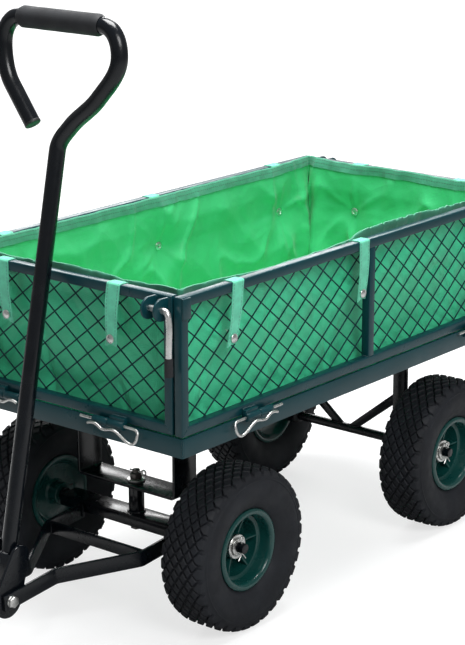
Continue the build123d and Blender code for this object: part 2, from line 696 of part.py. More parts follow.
def hinge_clips(hinge_u):
    """The two spring clips whose straight legs are the hinge pins of one panel."""
    with BuildPart() as clip:
        with BuildLine() as wire:
            Line(CLIP_LEG_START, CLIP_LEG_END)
            Spline(CLIP_LEG_END, *CLIP_LOOP, tangents=((1, 0, 0), (-1, 0, -0.2)))
        with BuildSketch(Plane(origin=CLIP_LEG_START, z_dir=(1, 0, 0))):
            Circle(CLIP_D / 2)
        sweep(path=wire.wire())
    with BuildPart() as mirrored:
        add(clip.part)
        mirror(about=Plane.YZ, mode=Mode.REPLACE)
    with BuildPart() as pair:
        with Locations((hinge_u, HINGE_OUT, TRAY_TOP)):
            add(clip.part)
        with Locations((-hinge_u, HINGE_OUT, TRAY_TOP)):
            add(mirrored.part)
    return pair


with BuildPart() as tray_knuckles:
    for edge, hinge_u in HINGES:
        add(knuckles(hinge_u, -1).part.moved(edge))
write(tray_knuckles, "tray_knuckles")

with BuildPart() as panel_clips:
    for edge, hinge_u in HINGES:
        add(hinge_clips(hinge_u).part.moved(edge))
write(panel_clips, "panel_clips")

# --- Panels --------------------------------------------------------------------------------------


def panel_frame(span, hinge_u, stile, ears):
    """One side's square-tube frame with its knuckles, and its latch ears or keeper plates."""
    with BuildPart() as frame:
        with BuildSketch(Plane.XZ):
            with Locations((0, (PANEL_BOTTOM + PANEL_TOP) / 2)):
                Rectangle(span, PANEL_HIGH)
                Rectangle(span - 2 * TUBE, PANEL_HIGH - 2 * TUBE, mode=Mode.SUBTRACT)
                if stile:
                    Rectangle(TUBE, PANEL_HIGH)
        extrude(amount=TUBE)
        fillet(frame.edges().filter_by(Axis.X).group_by(SortBy.LENGTH)[-1], TUBE_ROUNDING)
        add(knuckles(hinge_u, 1).part)
        for side in (1, -1):
            if ears:
                for ear_u in EARS:
                    with BuildSketch(Plane.YZ.offset(side * ear_u - EAR_THICK / 2)):
                        with Locations((LATCH_OUT, LATCH_Z)):
                            Circle(EAR_R)
                        with Locations((LATCH_OUT / 2, LATCH_Z)):
                            Rectangle(LATCH_OUT, 2 * EAR_R)
                        with Locations((LATCH_OUT, LATCH_Z)):
                            Circle(LATCH_ROD / 2 + LATCH_PLAY, mode=Mode.SUBTRACT)
                    extrude(amount=EAR_THICK)
            else:
                keeper_u = span / 2 - KEEPER_WIDE / 2
                with Locations((side * keeper_u, KEEPER_THICK / 2, PANEL_TOP - KEEPER_DOWN)):
                    Box(KEEPER_WIDE, KEEPER_THICK, KEEPER_HIGH)
    return frame


def panel_mesh(span):
    """The diamond mesh welded across the inside of one panel frame."""
    plane = Plane.XZ.offset(TUBE)
    middle = (PANEL_BOTTOM + PANEL_TOP) / 2
    centred = Plane(plane.origin + Vector(0, 0, middle), (1, 0, 0), (0, -1, 0))
    return mesh_sheet(span - MESH_MARGIN, PANEL_HIGH - 2 * MESH_EDGE, centred)


def rail_straps(places):
    """Webbing tabs over one panel's top rail, each with its press snap."""
    with BuildPart() as straps:
        for u in places:
            with BuildSketch(Plane.YZ.offset(u - WEBBING / 2)):
                with BuildLine():
                    Polyline(
                        (-STRAP_IN, PANEL_TOP + PLAY),
                        (PLAY, PANEL_TOP + PLAY),
                        (PLAY, PANEL_TOP - STRAP_DROP),
                        (PLAY + WEBBING_THICK, PANEL_TOP - STRAP_DROP),
                        (PLAY + WEBBING_THICK, PANEL_TOP + PLAY + WEBBING_THICK),
                        (-STRAP_IN, PANEL_TOP + PLAY + WEBBING_THICK),
                        close=True,
                    )
                make_face()
            extrude(amount=WEBBING)
            with BuildSketch(Plane.XZ.offset(-PLAY - WEBBING_THICK)):
                with Locations((u, PANEL_TOP - STRAP_DROP + SNAP_UP)):
                    Circle(SNAP_D / 2)
            extrude(amount=-SNAP_THICK)
    return straps


def levers():
    """The two turned-down latch rods of one end panel."""
    with BuildPart() as rod:
        with BuildLine():
            bent = FilletPolyline(
                (EARS[0] - LATCH_TAIL, LATCH_OUT, LATCH_Z),
                (LEVER_U, LATCH_OUT, LATCH_Z),
                (LEVER_U, LATCH_OUT, LEVER_FOOT),
                radius=LEVER_BEND,
            )
        with BuildSketch(Plane(origin=bent @ 0, z_dir=bent % 0)):
            Circle(LATCH_ROD / 2)
        sweep(path=bent)
        with BuildSketch(Plane.XY.offset(LEVER_FOOT - LEVER_GRIP_DOWN)):
            with Locations((LEVER_U, LATCH_OUT)):
                Circle(LEVER_GRIP_D / 2)
        extrude(amount=LEVER_GRIP_LONG)
        fillet(rod.edges().filter_by(GeomType.CIRCLE).group_by(Axis.Z)[0], LEVER_GRIP_ROUNDING)
    return rod


PANELS = {
    "left": (LEFT, SIDE_SPAN, SIDE_HINGE, True, (338, 24, -338)),
    "right": (RIGHT, SIDE_SPAN, SIDE_HINGE, True, (350, 12, -342)),
    "front": (FRONT, END_SPAN, END_HINGE, False, (-113, 113)),
    "rear": (REAR, END_SPAN, END_HINGE, False, (-110, 110)),
}
for name, (edge, span, hinge_u, is_side, strap_places) in PANELS.items():
    write(panel_frame(span, hinge_u, is_side, not is_side), f"panel_frame_{name}", edge)
    write(panel_mesh(span), f"panel_mesh_{name}", edge)
    write(rail_straps(strap_places), f"rail_straps_{name}", edge)

lever = levers()
with BuildPart() as lever_mirrored:
    add(lever.part)
    mirror(about=Plane.YZ, mode=Mode.REPLACE)
write(lever_mirrored, "latch_front_left", FRONT)
write(lever, "latch_front_right", FRONT)
write(lever, "latch_rear_left", REAR)
write(lever_mirrored, "latch_rear_right", REAR)

# --- Fabric tub ----------------------------------------------------------------------------------

with BuildPart() as tub:
    with BuildSketch(Plane.XY.offset(DECK_TOP + TUB_LIFT)):
        RectangleRounded(2 * TUB_HALF_LONG, 2 * TUB_HALF_WIDE, TUB_CORNER)
    extrude(amount=TUB_TOP - DECK_TOP - TUB_LIFT)
    fillet(tub.edges().group_by(Axis.Z)[0], TUB_FOOT_ROUNDING)
    offset(amount=-TUB_WALL, openings=tub.faces().sort_by(Axis.Z)[-1])
write(tub, "tub")
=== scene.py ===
import math

import bmesh
import bpy
from bpy.props import FloatProperty, FloatVectorProperty, IntProperty, PointerProperty
from mathutils import Matrix, Vector, noise


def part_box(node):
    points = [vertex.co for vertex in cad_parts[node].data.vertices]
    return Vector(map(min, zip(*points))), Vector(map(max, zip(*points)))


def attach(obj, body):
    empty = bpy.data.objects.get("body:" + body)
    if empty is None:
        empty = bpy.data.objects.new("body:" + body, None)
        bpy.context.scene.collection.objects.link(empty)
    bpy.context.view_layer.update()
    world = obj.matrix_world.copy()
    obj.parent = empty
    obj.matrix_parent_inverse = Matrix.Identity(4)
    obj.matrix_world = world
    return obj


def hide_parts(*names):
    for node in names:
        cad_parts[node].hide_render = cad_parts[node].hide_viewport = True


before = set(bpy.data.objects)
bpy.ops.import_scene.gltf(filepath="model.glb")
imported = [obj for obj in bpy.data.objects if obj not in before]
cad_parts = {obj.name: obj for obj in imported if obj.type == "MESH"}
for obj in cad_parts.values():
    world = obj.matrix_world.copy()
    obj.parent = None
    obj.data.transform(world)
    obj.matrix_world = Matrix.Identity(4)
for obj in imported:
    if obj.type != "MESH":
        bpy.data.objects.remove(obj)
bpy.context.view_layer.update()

bl_info = {
    "name": "Garden Cart",
    "version": (1, 0, 0),
    "blender": (4, 5, 0),
    "location": "3D View > Sidebar > Garden Cart",
    "description": "Builds a steel garden cart with mesh sides, a fabric tub and a pull handle",
    "category": "Add Mesh",
}

# Every piece is drawn in millimetres about the middle of the bed and moved onto the frame.
BED_LOW, BED_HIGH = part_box("tray_frame")
BED_X = (BED_LOW[0] + BED_HIGH[0]) / 2 * 1000
TO_FRAME = Matrix.Diagonal((0.001, 0.001, 0.001, 1)) @ Matrix.Translation((BED_X, 0, 0))


def in_bed(node):
    """Lowest and highest corner of a frame node, in millimetres about the middle of the bed."""
    low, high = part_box(node)
    move = Vector((BED_X, 0, 0))
    return Vector(low) * 1000 - move, Vector(high) * 1000 - move


BED_LONG = (BED_HIGH[0] - BED_LOW[0]) * 1000
BED_WIDE = (BED_HIGH[1] - BED_LOW[1]) * 1000
TRAY_TOP = BED_HIGH[2] * 1000
RAIL_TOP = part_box("panel_mesh_left")[1][2] * 1000 + 6
RAIL_UNDER = TRAY_TOP + 2
AXLE_Z = (in_bed("rim_front_left")[0].z + in_bed("rim_front_left")[1].z) / 2
FRONT_X = (in_bed("tyre_front_left")[0].x + in_bed("tyre_front_left")[1].x) / 2
REAR_X = (in_bed("tyre_rear_left")[0].x + in_bed("tyre_rear_left")[1].x) / 2
WHEEL_Y = (in_bed("tyre_front_left")[0].y + in_bed("tyre_front_left")[1].y) / 2
TYRE_R = (in_bed("tyre_front_left")[1].x - in_bed("tyre_front_left")[0].x) / 2

TUBE = 15.0
CORNERS = ("front_left", "front_right", "rear_left", "rear_right")
QUARTER = math.pi / 2


# --- Sizes and colours ---------------------------------------------------------------------------


class CartSizes(bpy.types.PropertyGroup):
    """Sizes that a user would change, in millimetres."""

    wire: FloatProperty(name="Mesh Wire", description="Diameter of the mesh wire", default=2.3, min=1)
    diamond_wide: FloatProperty(name="Diamond Width", description="Width of one mesh diamond", default=44.0)
    diamond_high: FloatProperty(name="Diamond Height", description="Height of one mesh diamond", default=35.5)
    edge: FloatProperty(name="Edge Rounding", description="Rounding of the steel edges", default=1.2, min=0)
    lugs: IntProperty(name="Tread Blocks", description="Blocks in one row round a tyre", default=34, min=12)
    lug_high: FloatProperty(name="Block Height", description="Height of a tread block", default=4.6)
    hem: FloatProperty(name="Hem Height", description="Height of the tub's sewn hem", default=16.0)
    fold: FloatProperty(name="Fold Depth", description="Depth of the tub's soft folds", default=8.0)
    cloth: FloatProperty(name="Cloth Thickness", description="Thickness of the tub's cloth", default=1.1)
    webbing: FloatProperty(name="Webbing Width", description="Width of the rail straps", default=25.0)


def colour(label, text, value):
    """One colour that a user would change."""
    return FloatVectorProperty(
        name=label, description=text, subtype="COLOR", size=3, min=0, max=1, default=value
    )


class CartColours(bpy.types.PropertyGroup):
    """Linear colours that a user would change."""

    frame_paint: colour("Frame Paint", "Paint of the tray and the side frames", (0.002, 0.037, 0.046))
    mesh_paint: colour("Mesh Paint", "Paint of the diamond mesh", (0.003, 0.03, 0.036))
    black_paint: colour("Black Paint", "Paint of the running gear and the handle", (0.0022, 0.0036, 0.0058))
    rim_paint: colour("Rim Paint", "Paint of the wheel rims", (0.004, 0.05, 0.045))
    tyre: colour("Tyre Rubber", "Rubber of the tyres", (0.009, 0.0105, 0.014))
    tub_inside: colour("Tub Inside", "Coated inside of the tub", (0.036, 0.475, 0.17))
    tub_outside: colour("Tub Outside", "Woven outside of the tub", (0.05, 0.66, 0.34))
    hem: colour("Hem", "Folded hem of the tub", (0.04, 0.27, 0.16))
    webbing: colour("Webbing", "Rail straps", (0.12, 0.62, 0.40))


def sizes():
    """The scene's cart sizes."""
    return bpy.context.scene.garden_cart_sizes


def colours():
    """The scene's cart colours."""
    return bpy.context.scene.garden_cart_colours


# --- Materials -----------------------------------------------------------------------------------


class Finish:
    """A procedural material under construction: its nodes, links and shader."""

    def __init__(self, name):
        self.material = bpy.data.materials.new(name)
        self.material.use_nodes = True
        self.tree = self.material.node_tree
        self.shader = self.tree.nodes["Principled BSDF"]
        self.where = self.add("ShaderNodeTexCoord").outputs["Object"]

    def add(self, kind, **settings):
        """A new node with its settings; a setting with a capital letter is an input's value."""
        node = self.tree.nodes.new(kind)
        for key, value in settings.items():
            if key[0].isupper():
                node.inputs[key.replace("_", " ")].default_value = value
            else:
                setattr(node, key, value)
        return node

    def link(self, output, entry):
        """Link an output to an input."""
        self.tree.links.new(output, entry)

    def use_uv(self):
        """Read the piece's own UV map, laid out in metres, in place of object coordinates."""
        self.where = self.add("ShaderNodeUVMap", uv_map="lay").outputs["UV"]

    def noise(self, scale, detail=4.0, rough=0.55):
        """Noise at a scale in cycles a metre."""
        node = self.add("ShaderNodeTexNoise", Scale=scale, Detail=detail, Roughness=rough)
        self.link(self.where, node.inputs["Vector"])
        return node.outputs["Fac"]

    def facets(self, scale):
        """Facets that meet in crisp creases, scale cells a metre."""
        drift = self.add("ShaderNodeTexNoise", Scale=scale * 0.4, Detail=2.0)
        self.link(self.where, drift.inputs["Vector"])
        moved = self.add("ShaderNodeVectorMath", operation="MULTIPLY_ADD")
        moved.inputs[1].default_value = (1.6 / scale,) * 3
        self.link(drift.outputs["Color"], moved.inputs[0])
        self.link(self.where, moved.inputs[2])
        cells = self.add("ShaderNodeTexVoronoi", Scale=scale)
        self.link(moved.outputs["Vector"], cells.inputs["Vector"])
        return self.sum("POWER", cells.outputs["Distance"], 2.0)

    def wave(self, scale, direction, distortion=0.0):
        """Parallel waves, scale cycles a metre, along X, Y or Z."""
        node = self.add("ShaderNodeTexWave", Scale=scale / 6.2832 * 2, Distortion=distortion)
        node.bands_direction = direction
        self.link(self.where, node.inputs["Vector"])
        return node.outputs["Fac"]

    def spread(self, value, low, high, start=0.3, stop=0.7):
        """Remap a value from start..stop to low..high."""
        node = self.add("ShaderNodeMapRange", From_Min=start, From_Max=stop, To_Min=low, To_Max=high)
        self.link(value, node.inputs["Value"])
        return node.outputs["Result"]

    def sum(self, kind, first, second):
        """A Math node on two sockets or numbers."""
        node = self.add("ShaderNodeMath", operation=kind)
        for entry, value in zip(node.inputs, (first, second)):
            if isinstance(value, (int, float)):
                entry.default_value = value
            else:
                self.link(value, entry)
        return node.outputs["Value"]

    def tint(self, factor, first, second):
        """Mix two colours by a factor."""
        node = self.add("ShaderNodeMix", data_type="RGBA")
        self.link(factor, node.inputs["Factor"])
        for entry, value in ((node.inputs[6], first), (node.inputs[7], second)):
            if isinstance(value, bpy.types.NodeSocket):
                self.link(value, entry)
            else:
                entry.default_value = (*value, 1)
        return node.outputs[2]

    def bump(self, height, strength, distance, after=None):
        """A bump in metres, on top of another if one is given."""
        node = self.add("ShaderNodeBump", Strength=strength, Distance=distance)
        self.link(height, node.inputs["Height"])
        if after is not None:
            self.link(after, node.inputs["Normal"])
        return node.outputs["Normal"]

    def set(self, **values):
        """Set or link the shader's own inputs."""
        for key, value in values.items():
            entry = self.shader.inputs[key.replace("_", " ")]
            if isinstance(value, bpy.types.NodeSocket):
                self.link(value, entry)
            else:
                entry.default_value = value


def scaled(value, factor):
    """A colour made lighter or darker."""
    return tuple(min(1.0, part * factor) for part in value)


def gloss_paint(name, base, rough=0.28, shine=0.3, coat=0.12):
    """Powder coat: faint orange peel, uneven tone and a clear coat."""
    finish = Finish(name)
    tone = finish.spread(finish.noise(7, 3), 0, 1)
    speck = finish.noise(420, 2)
    finish.set(
        Base_Color=finish.tint(tone, scaled(base, 0.86), scaled(base, 1.18)),
        Roughness=finish.spread(finish.noise(26, 5), rough - 0.07, rough + 0.12),
        Normal=finish.bump(speck, 0.12, 0.0006),
        Specular_IOR_Level=shine,
        Coat_Weight=coat,
        Coat_Roughness=0.14,
    )
    return finish.material


def bright_metal(name, base, rough=0.3):
    """Zinc-plated steel with fine drawing marks."""
    finish = Finish(name)
    tone = finish.spread(finish.noise(60, 5), 0, 1)
    finish.set(
        Base_Color=finish.tint(tone, scaled(base, 0.8), base),
        Metallic=1.0,
        Roughness=finish.spread(finish.noise(240, 4), rough - 0.08, rough + 0.14),
        Normal=finish.bump(finish.noise(900, 2), 0.15, 0.0003),
    )
    return finish.material


def tyre_rubber():
    """Moulded rubber, a little dusty, with fine grain."""
    base = colours().tyre
    finish = Finish("tyre_rubber")
    dust = finish.spread(finish.noise(18, 6, 0.62), 0, 1, 0.35, 0.75)
    grain = finish.noise(700, 3)
    soft = finish.bump(finish.noise(60, 4), 0.12, 0.0012)
    finish.set(
        Base_Color=finish.tint(dust, scaled(base, 0.8), scaled(base, 1.5)),
        Roughness=finish.spread(finish.noise(40, 5), 0.56, 0.74),
        Normal=finish.bump(grain, 0.25, 0.0004, soft),
        Specular_IOR_Level=0.3,
    )
    return finish.material


def soft_rubber(name, base, rough, grain_scale):
    """Foamed or moulded soft rubber."""
    finish = Finish(name)
    cells = finish.add("ShaderNodeTexVoronoi", Scale=grain_scale)
    finish.link(finish.where, cells.inputs["Vector"])
    finish.set(
        Base_Color=finish.tint(finish.spread(finish.noise(30, 4), 0, 1), base, scaled(base, 1.7)),
        Roughness=finish.spread(finish.noise(50, 3), rough - 0.08, rough + 0.08),
        Normal=finish.bump(cells.outputs["Distance"], 0.35, 0.0006),
    )
    return finish.material


def weave(finish, pitch):
    """Crossed threads of a cloth whose UV map is in metres."""
    across = finish.wave(1 / pitch, "X", 0.3)
    along = finish.wave(1 / pitch, "Y", 0.3)
    return finish.sum("MULTIPLY", across, along)


def tub_cloth(name, base, rough, coat, thread_strength, uneven_tone_and_shade):
    """Tarpaulin cloth: woven tape under a coating, with fine creases, uneven tone and painted shade: darker
    in the hollows of the crease bump and between the threads.
    """
    finish = Finish(name)
    finish.use_uv()
    threads = weave(finish, 0.0026)
    creases = finish.noise(22, 6, 0.6)
    facets = finish.facets(11)
    slub = finish.noise(140, 3)
    # Painted shade mixed with random slub tone: the colour follows the crease bump, darker in its hollows.
    tone = finish.spread(finish.sum("ADD", creases, finish.sum("MULTIPLY", slub, 0.35)), 0, 1, 0.45, 0.95)
    shade = finish.tint(tone, scaled(base, 1 - uneven_tone_and_shade), scaled(base, 1 + uneven_tone_and_shade * 0.8))
    # Painted shade: darker between the woven threads, where the thread bump sinks.
    weave_gap_shade = finish.tint(threads, scaled(base, 0.9), scaled(base, 1.08))
    mixed = finish.add("ShaderNodeMix", data_type="RGBA", Factor=0.4)
    finish.link(shade, mixed.inputs[6])
    finish.link(weave_gap_shade, mixed.inputs[7])
    soft = finish.bump(facets, 0.3, 0.012, finish.bump(creases, 0.2, 0.006))
    finish.set(
        Base_Color=mixed.outputs[2],
        Roughness=finish.spread(slub, rough - 0.06, rough + 0.08),
        Normal=finish.bump(threads, thread_strength, 0.0005, soft),
        Specular_IOR_Level=0.5,
        Coat_Weight=coat,
        Coat_Roughness=0.25,
        Sheen_Weight=0.12,
        Sheen_Roughness=0.5,
    )
    return finish.material


def stitched_cloth(name, base, rows):
    """Webbing or hem tape: ribs across it and dashed stitches along rows given in millimetres."""
    finish = Finish(name)
    finish.use_uv()
    split = finish.add("ShaderNodeSeparateXYZ")
    finish.link(finish.where, split.inputs["Vector"])
    across, along = split.outputs["X"], split.outputs["Y"]
    ribs = finish.wave(1 / 0.0022, "Y", 0.4)
    threads = finish.wave(1 / 0.0016, "X", 0.4)
    cloth = finish.sum("MULTIPLY", ribs, threads)
    stitch_long = 0.0055
    dash = finish.sum("GREATER_THAN", finish.sum("MODULO", along, stitch_long), stitch_long * 0.3)
    stitch = None
    for row in rows:
        offset = finish.sum("SUBTRACT", across, row / 1000)
        near = finish.sum("LESS_THAN", finish.sum("ABSOLUTE", offset, 0), 0.0006)
        line = finish.sum("MULTIPLY", near, dash)
        stitch = line if stitch is None else finish.sum("MAXIMUM", stitch, line)
    tone = finish.spread(finish.noise(60, 4), 0, 1)
    shade = finish.tint(tone, scaled(base, 0.82), scaled(base, 1.12))
    puckered = finish.bump(finish.noise(110, 3), 0.2, 0.0016)
    woven = finish.bump(cloth, 0.5, 0.0005, puckered)
    finish.set(
        Base_Color=finish.tint(stitch, shade, scaled(base, 0.5)),
        Roughness=finish.spread(finish.noise(80, 3), 0.6, 0.8),
        Normal=finish.bump(stitch, 0.6, -0.0006, woven),
        Sheen_Weight=0.25,
        Sheen_Roughness=0.45,
    )
    return finish.material


def make_finishes():
    """Every finish of the cart, by name."""
    tone = colours()
    return {
        "frame": gloss_paint("frame_paint", tone.frame_paint, 0.33, 0.3, 0.12),
        "mesh": gloss_paint("mesh_paint", tone.mesh_paint, 0.5, 0.2, 0.0),
        "black": gloss_paint("black_paint", tone.black_paint, 0.22, 0.35, 0.15),
        "rim": gloss_paint("rim_paint", tone.rim_paint, 0.24, 0.4, 0.25),
        "zinc": bright_metal("zinc_plate", (0.78, 0.78, 0.76)),
        "oiled": bright_metal("oiled_steel", (0.16, 0.15, 0.14), 0.42),
        "tyre": tyre_rubber(),
        "foam": soft_rubber("grip_foam", (0.008, 0.009, 0.011), 0.75, 900),
        "cap": soft_rubber("cap_plastic", (0.01, 0.01, 0.011), 0.45, 300),
        "butyl": soft_rubber("tube_butyl", (0.014, 0.014, 0.014), 0.6, 200),
        "inside": tub_cloth("tub_inside", tone.tub_inside, 0.42, 0.3, 0.12, 0.07),
        "outside": tub_cloth("tub_outside", tone.tub_outside, 0.5, 0.1, 0.6, 0.16),
        "hem": stitched_cloth("tub_hem", tone.hem, (-9.0, -3.0)),
        "webbing": stitched_cloth("strap_webbing", tone.webbing, (-9.5, 9.5)),
    }


FINISHES = {}


# --- Shapes --------------------------------------------------------------------------------------


def finished(name, shape, finish, body, stands_for=(), place=None, sharp=38.0, second=None, closed=True):
    """Turn a shape drawn in millimetres into a finished piece that rides on a body."""
    if closed:
        bmesh.ops.recalc_face_normals(shape, faces=shape.faces)
    turn = TO_FRAME @ (place if place is not None else Matrix.Identity(4))
    bmesh.ops.transform(shape, matrix=turn, verts=shape.verts)
    name = f"{name}_made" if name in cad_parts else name
    mesh = bpy.data.meshes.new(name)
    shape.to_mesh(mesh)
    shape.free()
    for kind in (finish, second):
        if kind:
            mesh.materials.append(FINISHES[kind])
    mesh.shade_smooth()
    mesh.set_sharp_from_angle(angle=math.radians(sharp))
    piece = bpy.data.objects.new(name, mesh)
    bpy.context.collection.objects.link(piece)
    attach(piece, body)
    if stands_for:
        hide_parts(*stands_for)
    return piece


def soften(shape, edges, width, segments=2):
    """Round the given edges."""
    if width > 0:
        bmesh.ops.bevel(
            shape,
            geom=list(edges),
            offset=width,
            offset_type="OFFSET",
            segments=segments,
            profile=0.5,
            affect="EDGES",
            clamp_overlap=True,
            material=-1,
        )


def block(shape, centre, size, width=None, turn=None):
    """A rounded bar about its centre."""
    matrix = Matrix.Translation(centre) @ (turn or Matrix.Identity(4)) @ Matrix.Diagonal((*size, 1))
    made = bmesh.ops.create_cube(shape, size=1.0, matrix=matrix)
    edges = {edge for vert in made["verts"] for edge in vert.link_edges}
    soften(shape, edges, sizes().edge if width is None else width)


def rod(shape, start, end, radius, end_radius=None, sides=28, chamfer=0.0):
    """A round bar from start to end."""
    start, end = Vector(start), Vector(end)
    turn = (end - start).to_track_quat("Z", "Y").to_matrix().to_4x4()
    made = bmesh.ops.create_cone(
        shape,
        cap_ends=True,
        segments=sides,
        radius1=radius,
        radius2=radius if end_radius is None else end_radius,
        depth=(end - start).length,
        matrix=Matrix.Translation((start + end) / 2) @ turn,
    )
    if chamfer:
        rims = {
            edge
            for vert in made["verts"]
            for edge in vert.link_edges
            if any(len(face.verts) > 4 for face in edge.link_faces)
        }
        soften(shape, rims, chamfer)


def plate(shape, outline, thick, width=None):
    """A flat plate: its outline as points, pushed along a vector, with rounded edges."""
    corners = [shape.verts.new(point) for point in outline]
    face = shape.faces.new(corners)
    pushed = bmesh.ops.extrude_face_region(shape, geom=[face])["geom"]
    moved = [item for item in pushed if isinstance(item, bmesh.types.BMVert)]
    bmesh.ops.translate(shape, vec=thick, verts=moved)
    bmesh.ops.recalc_face_normals(shape, faces=list({f for v in corners + moved for f in v.link_faces}))
    edges = {
        edge
        for vert in corners + moved
        for edge in vert.link_edges
        if edge.calc_face_angle(0) > math.radians(35)
    }
    soften(shape, edges, sizes().edge if width is None else width)


def arc(centre, radius, start, stop, steps):
    """Points on an arc in a plane, angles in degrees."""
    turns = [math.radians(start + (stop - start) * step / steps) for step in range(steps + 1)]
    return [(centre[0] + radius * math.cos(a), centre[1] + radius * math.sin(a)) for a in turns]


def lathe(shape, profile, steps=64, closed=True):
    """Spin a profile of (radius, distance along Y) about Y."""
    verts = [shape.verts.new((radius, along, 0)) for radius, along in profile]
    pairs = list(zip(verts, verts[1:])) + ([(verts[-1], verts[0])] if closed else [])
    edges = [shape.edges.new(pair) for pair in pairs]
    bmesh.ops.spin(
        shape,
        geom=verts + edges,
        cent=(0, 0, 0),
        axis=(0, 1, 0),
        dvec=(0, 0, 0),
        angle=2 * math.pi,
        steps=steps,
        use_merge=True,
        use_duplicate=False,
    )
    bmesh.ops.remove_doubles(shape, verts=shape.verts, dist=0.001)


def bent_bar(shape, knots, radius, sides=4, smooth=10, place=None):
    """A bent round bar along a smooth curve. A knot is a point, its direction and its two reaches."""
    data = bpy.data.curves.new("bend", "CURVE")
    data.dimensions = "3D"
    data.bevel_depth = radius
    data.bevel_resolution = sides
    data.resolution_u = smooth
    data.use_fill_caps = True
    spline = data.splines.new("BEZIER")
    spline.bezier_points.add(len(knots) - 1)
    for bezier, (point, direction, before, after) in zip(spline.bezier_points, knots):
        point, direction = Vector(point), Vector(direction).normalized()
        bezier.co = point
        bezier.handle_left = point - direction * before
        bezier.handle_right = point + direction * after
    path = bpy.data.objects.new("bend", data)
    mesh = bpy.data.meshes.new_from_object(path)
    if place is not None:
        mesh.transform(place)
    shape.from_mesh(mesh)
    bmesh.ops.remove_doubles(shape, verts=shape.verts, dist=0.001)
    bpy.data.objects.remove(path)
    bpy.data.curves.remove(data)
    bpy.data.meshes.remove(mesh)


def weld_bead(shape, start, end, radius, seed):
    """A short rippled weld bead."""
    start, end = Vector(start), Vector(end)
    count = max(3, int((end - start).length / (radius * 0.9)))
    for step in range(count):
        spot = start.lerp(end, (step + 0.5) / count)
        swell = 1 + 0.22 * noise.noise(spot * 0.37 + Vector((seed, 0, 0)))
        bmesh.ops.create_icosphere(
            shape,
            subdivisions=1,
            radius=radius * swell,
            matrix=Matrix.Translation(spot),
        )


def turned(turn_z, x, y):
    """The place of one side: local X along the side, Y outwards."""
    return Matrix.Translation((x, y, 0)) @ Matrix.Rotation(turn_z, 4, "Z")


SIDES = {
    "left": (turned(0, 0, BED_WIDE / 2), BED_LONG, 300.0, (338, 24, -338)),
    "right": (turned(math.pi, 0, -BED_WIDE / 2), BED_LONG, 300.0, (350, 12, -342)),
    "front": (turned(-QUARTER, BED_LONG / 2, 0), BED_WIDE - 2 * TUBE - 9, 107.0, (-113, 113)),
    "rear": (turned(QUARTER, -BED_LONG / 2, 0), BED_WIDE - 2 * TUBE - 9, 107.0, (-110, 110)),
}


def rounded(half_long, half_wide, radius, z, steps=5):
    """A rectangle with round corners, as points at one height."""
    points = []
    for start, right, left in ((0, 1, 1), (90, -1, 1), (180, -1, -1), (270, 1, -1)):
        centre = (right * (half_long - radius), left * (half_wide - radius))
        points += [(x, y, z) for x, y in arc(centre, radius, start, start + 90, steps)]
    return points


def banded(shape, loops):
    """Skin from each closed loop of points to the next, and from the last back to the first."""
    first = [shape.verts.new(point) for point in loops[0]]
    edges = [shape.edges.new(pair) for pair in zip(first, first[1:] + first[:1])]
    here = {vert: number for number, vert in enumerate(first)}
    for loop in [*loops[1:], loops[0]]:
        pushed = bmesh.ops.extrude_edge_only(shape, edges=edges)["geom"]
        moved = {}
        for vert in (item for item in pushed if isinstance(item, bmesh.types.BMVert)):
            back = next(edge.other_vert(vert) for edge in vert.link_edges if edge.other_vert(vert) in here)
            moved[vert] = here[back]
        for vert, number in moved.items():
            vert.co = loop[number]
        here = moved
        edges = [
            edge
            for edge in pushed
            if isinstance(edge, bmesh.types.BMEdge) and all(vert in moved for vert in edge.verts)
        ]
    bmesh.ops.remove_doubles(shape, verts=shape.verts, dist=0.001)


def ease(shape, width, turn=35.0, segments=2):
    """Round every edge of a shape that turns by more than an angle."""
    sharp = [edge for edge in shape.edges if edge.calc_face_angle(0) > math.radians(turn)]
    soften(shape, sharp, width, segments)


def ring(shape, centre, radius, wire, axis="Y", steps=20):
    """A round ring of wire about an axis through its centre."""
    turns = {
        "X": Matrix.Rotation(QUARTER, 4, "Y"),
        "Y": Matrix.Rotation(QUARTER, 4, "X"),
        "Z": Matrix.Identity(4),
    }
    turn = turns[axis]
    side = Matrix.Translation((radius, 0, 0)) @ Matrix.Rotation(QUARTER, 4, "X")
    place = Matrix.Translation(centre) @ turn
    made = bmesh.ops.create_circle(shape, segments=10, radius=wire, matrix=place @ side)
    edges = list({edge for vert in made["verts"] for edge in vert.link_edges})
    bmesh.ops.spin(
        shape,
        geom=made["verts"] + edges,
        cent=centre,
        axis=turn.to_3x3() @ Vector((0, 0, 1)),
        angle=2 * math.pi,
        steps=steps,
        use_merge=True,
    )


def hexagon(shape, centre, axis, across, height, chamfer=0.9):
    """A hexagon head or nut, its rims a little rounded."""
    centre, axis = Vector(centre), Vector(axis)
    turn = axis.to_track_quat("Z", "Y").to_matrix().to_4x4()
    made = bmesh.ops.create_cone(
        shape,
        cap_ends=True,
        segments=6,
        radius1=across / math.sqrt(3),
        radius2=across / math.sqrt(3),
        depth=height,
        matrix=Matrix.Translation(centre) @ turn,
    )
    soften(shape, {edge for vert in made["verts"] for edge in vert.link_edges}, chamfer)


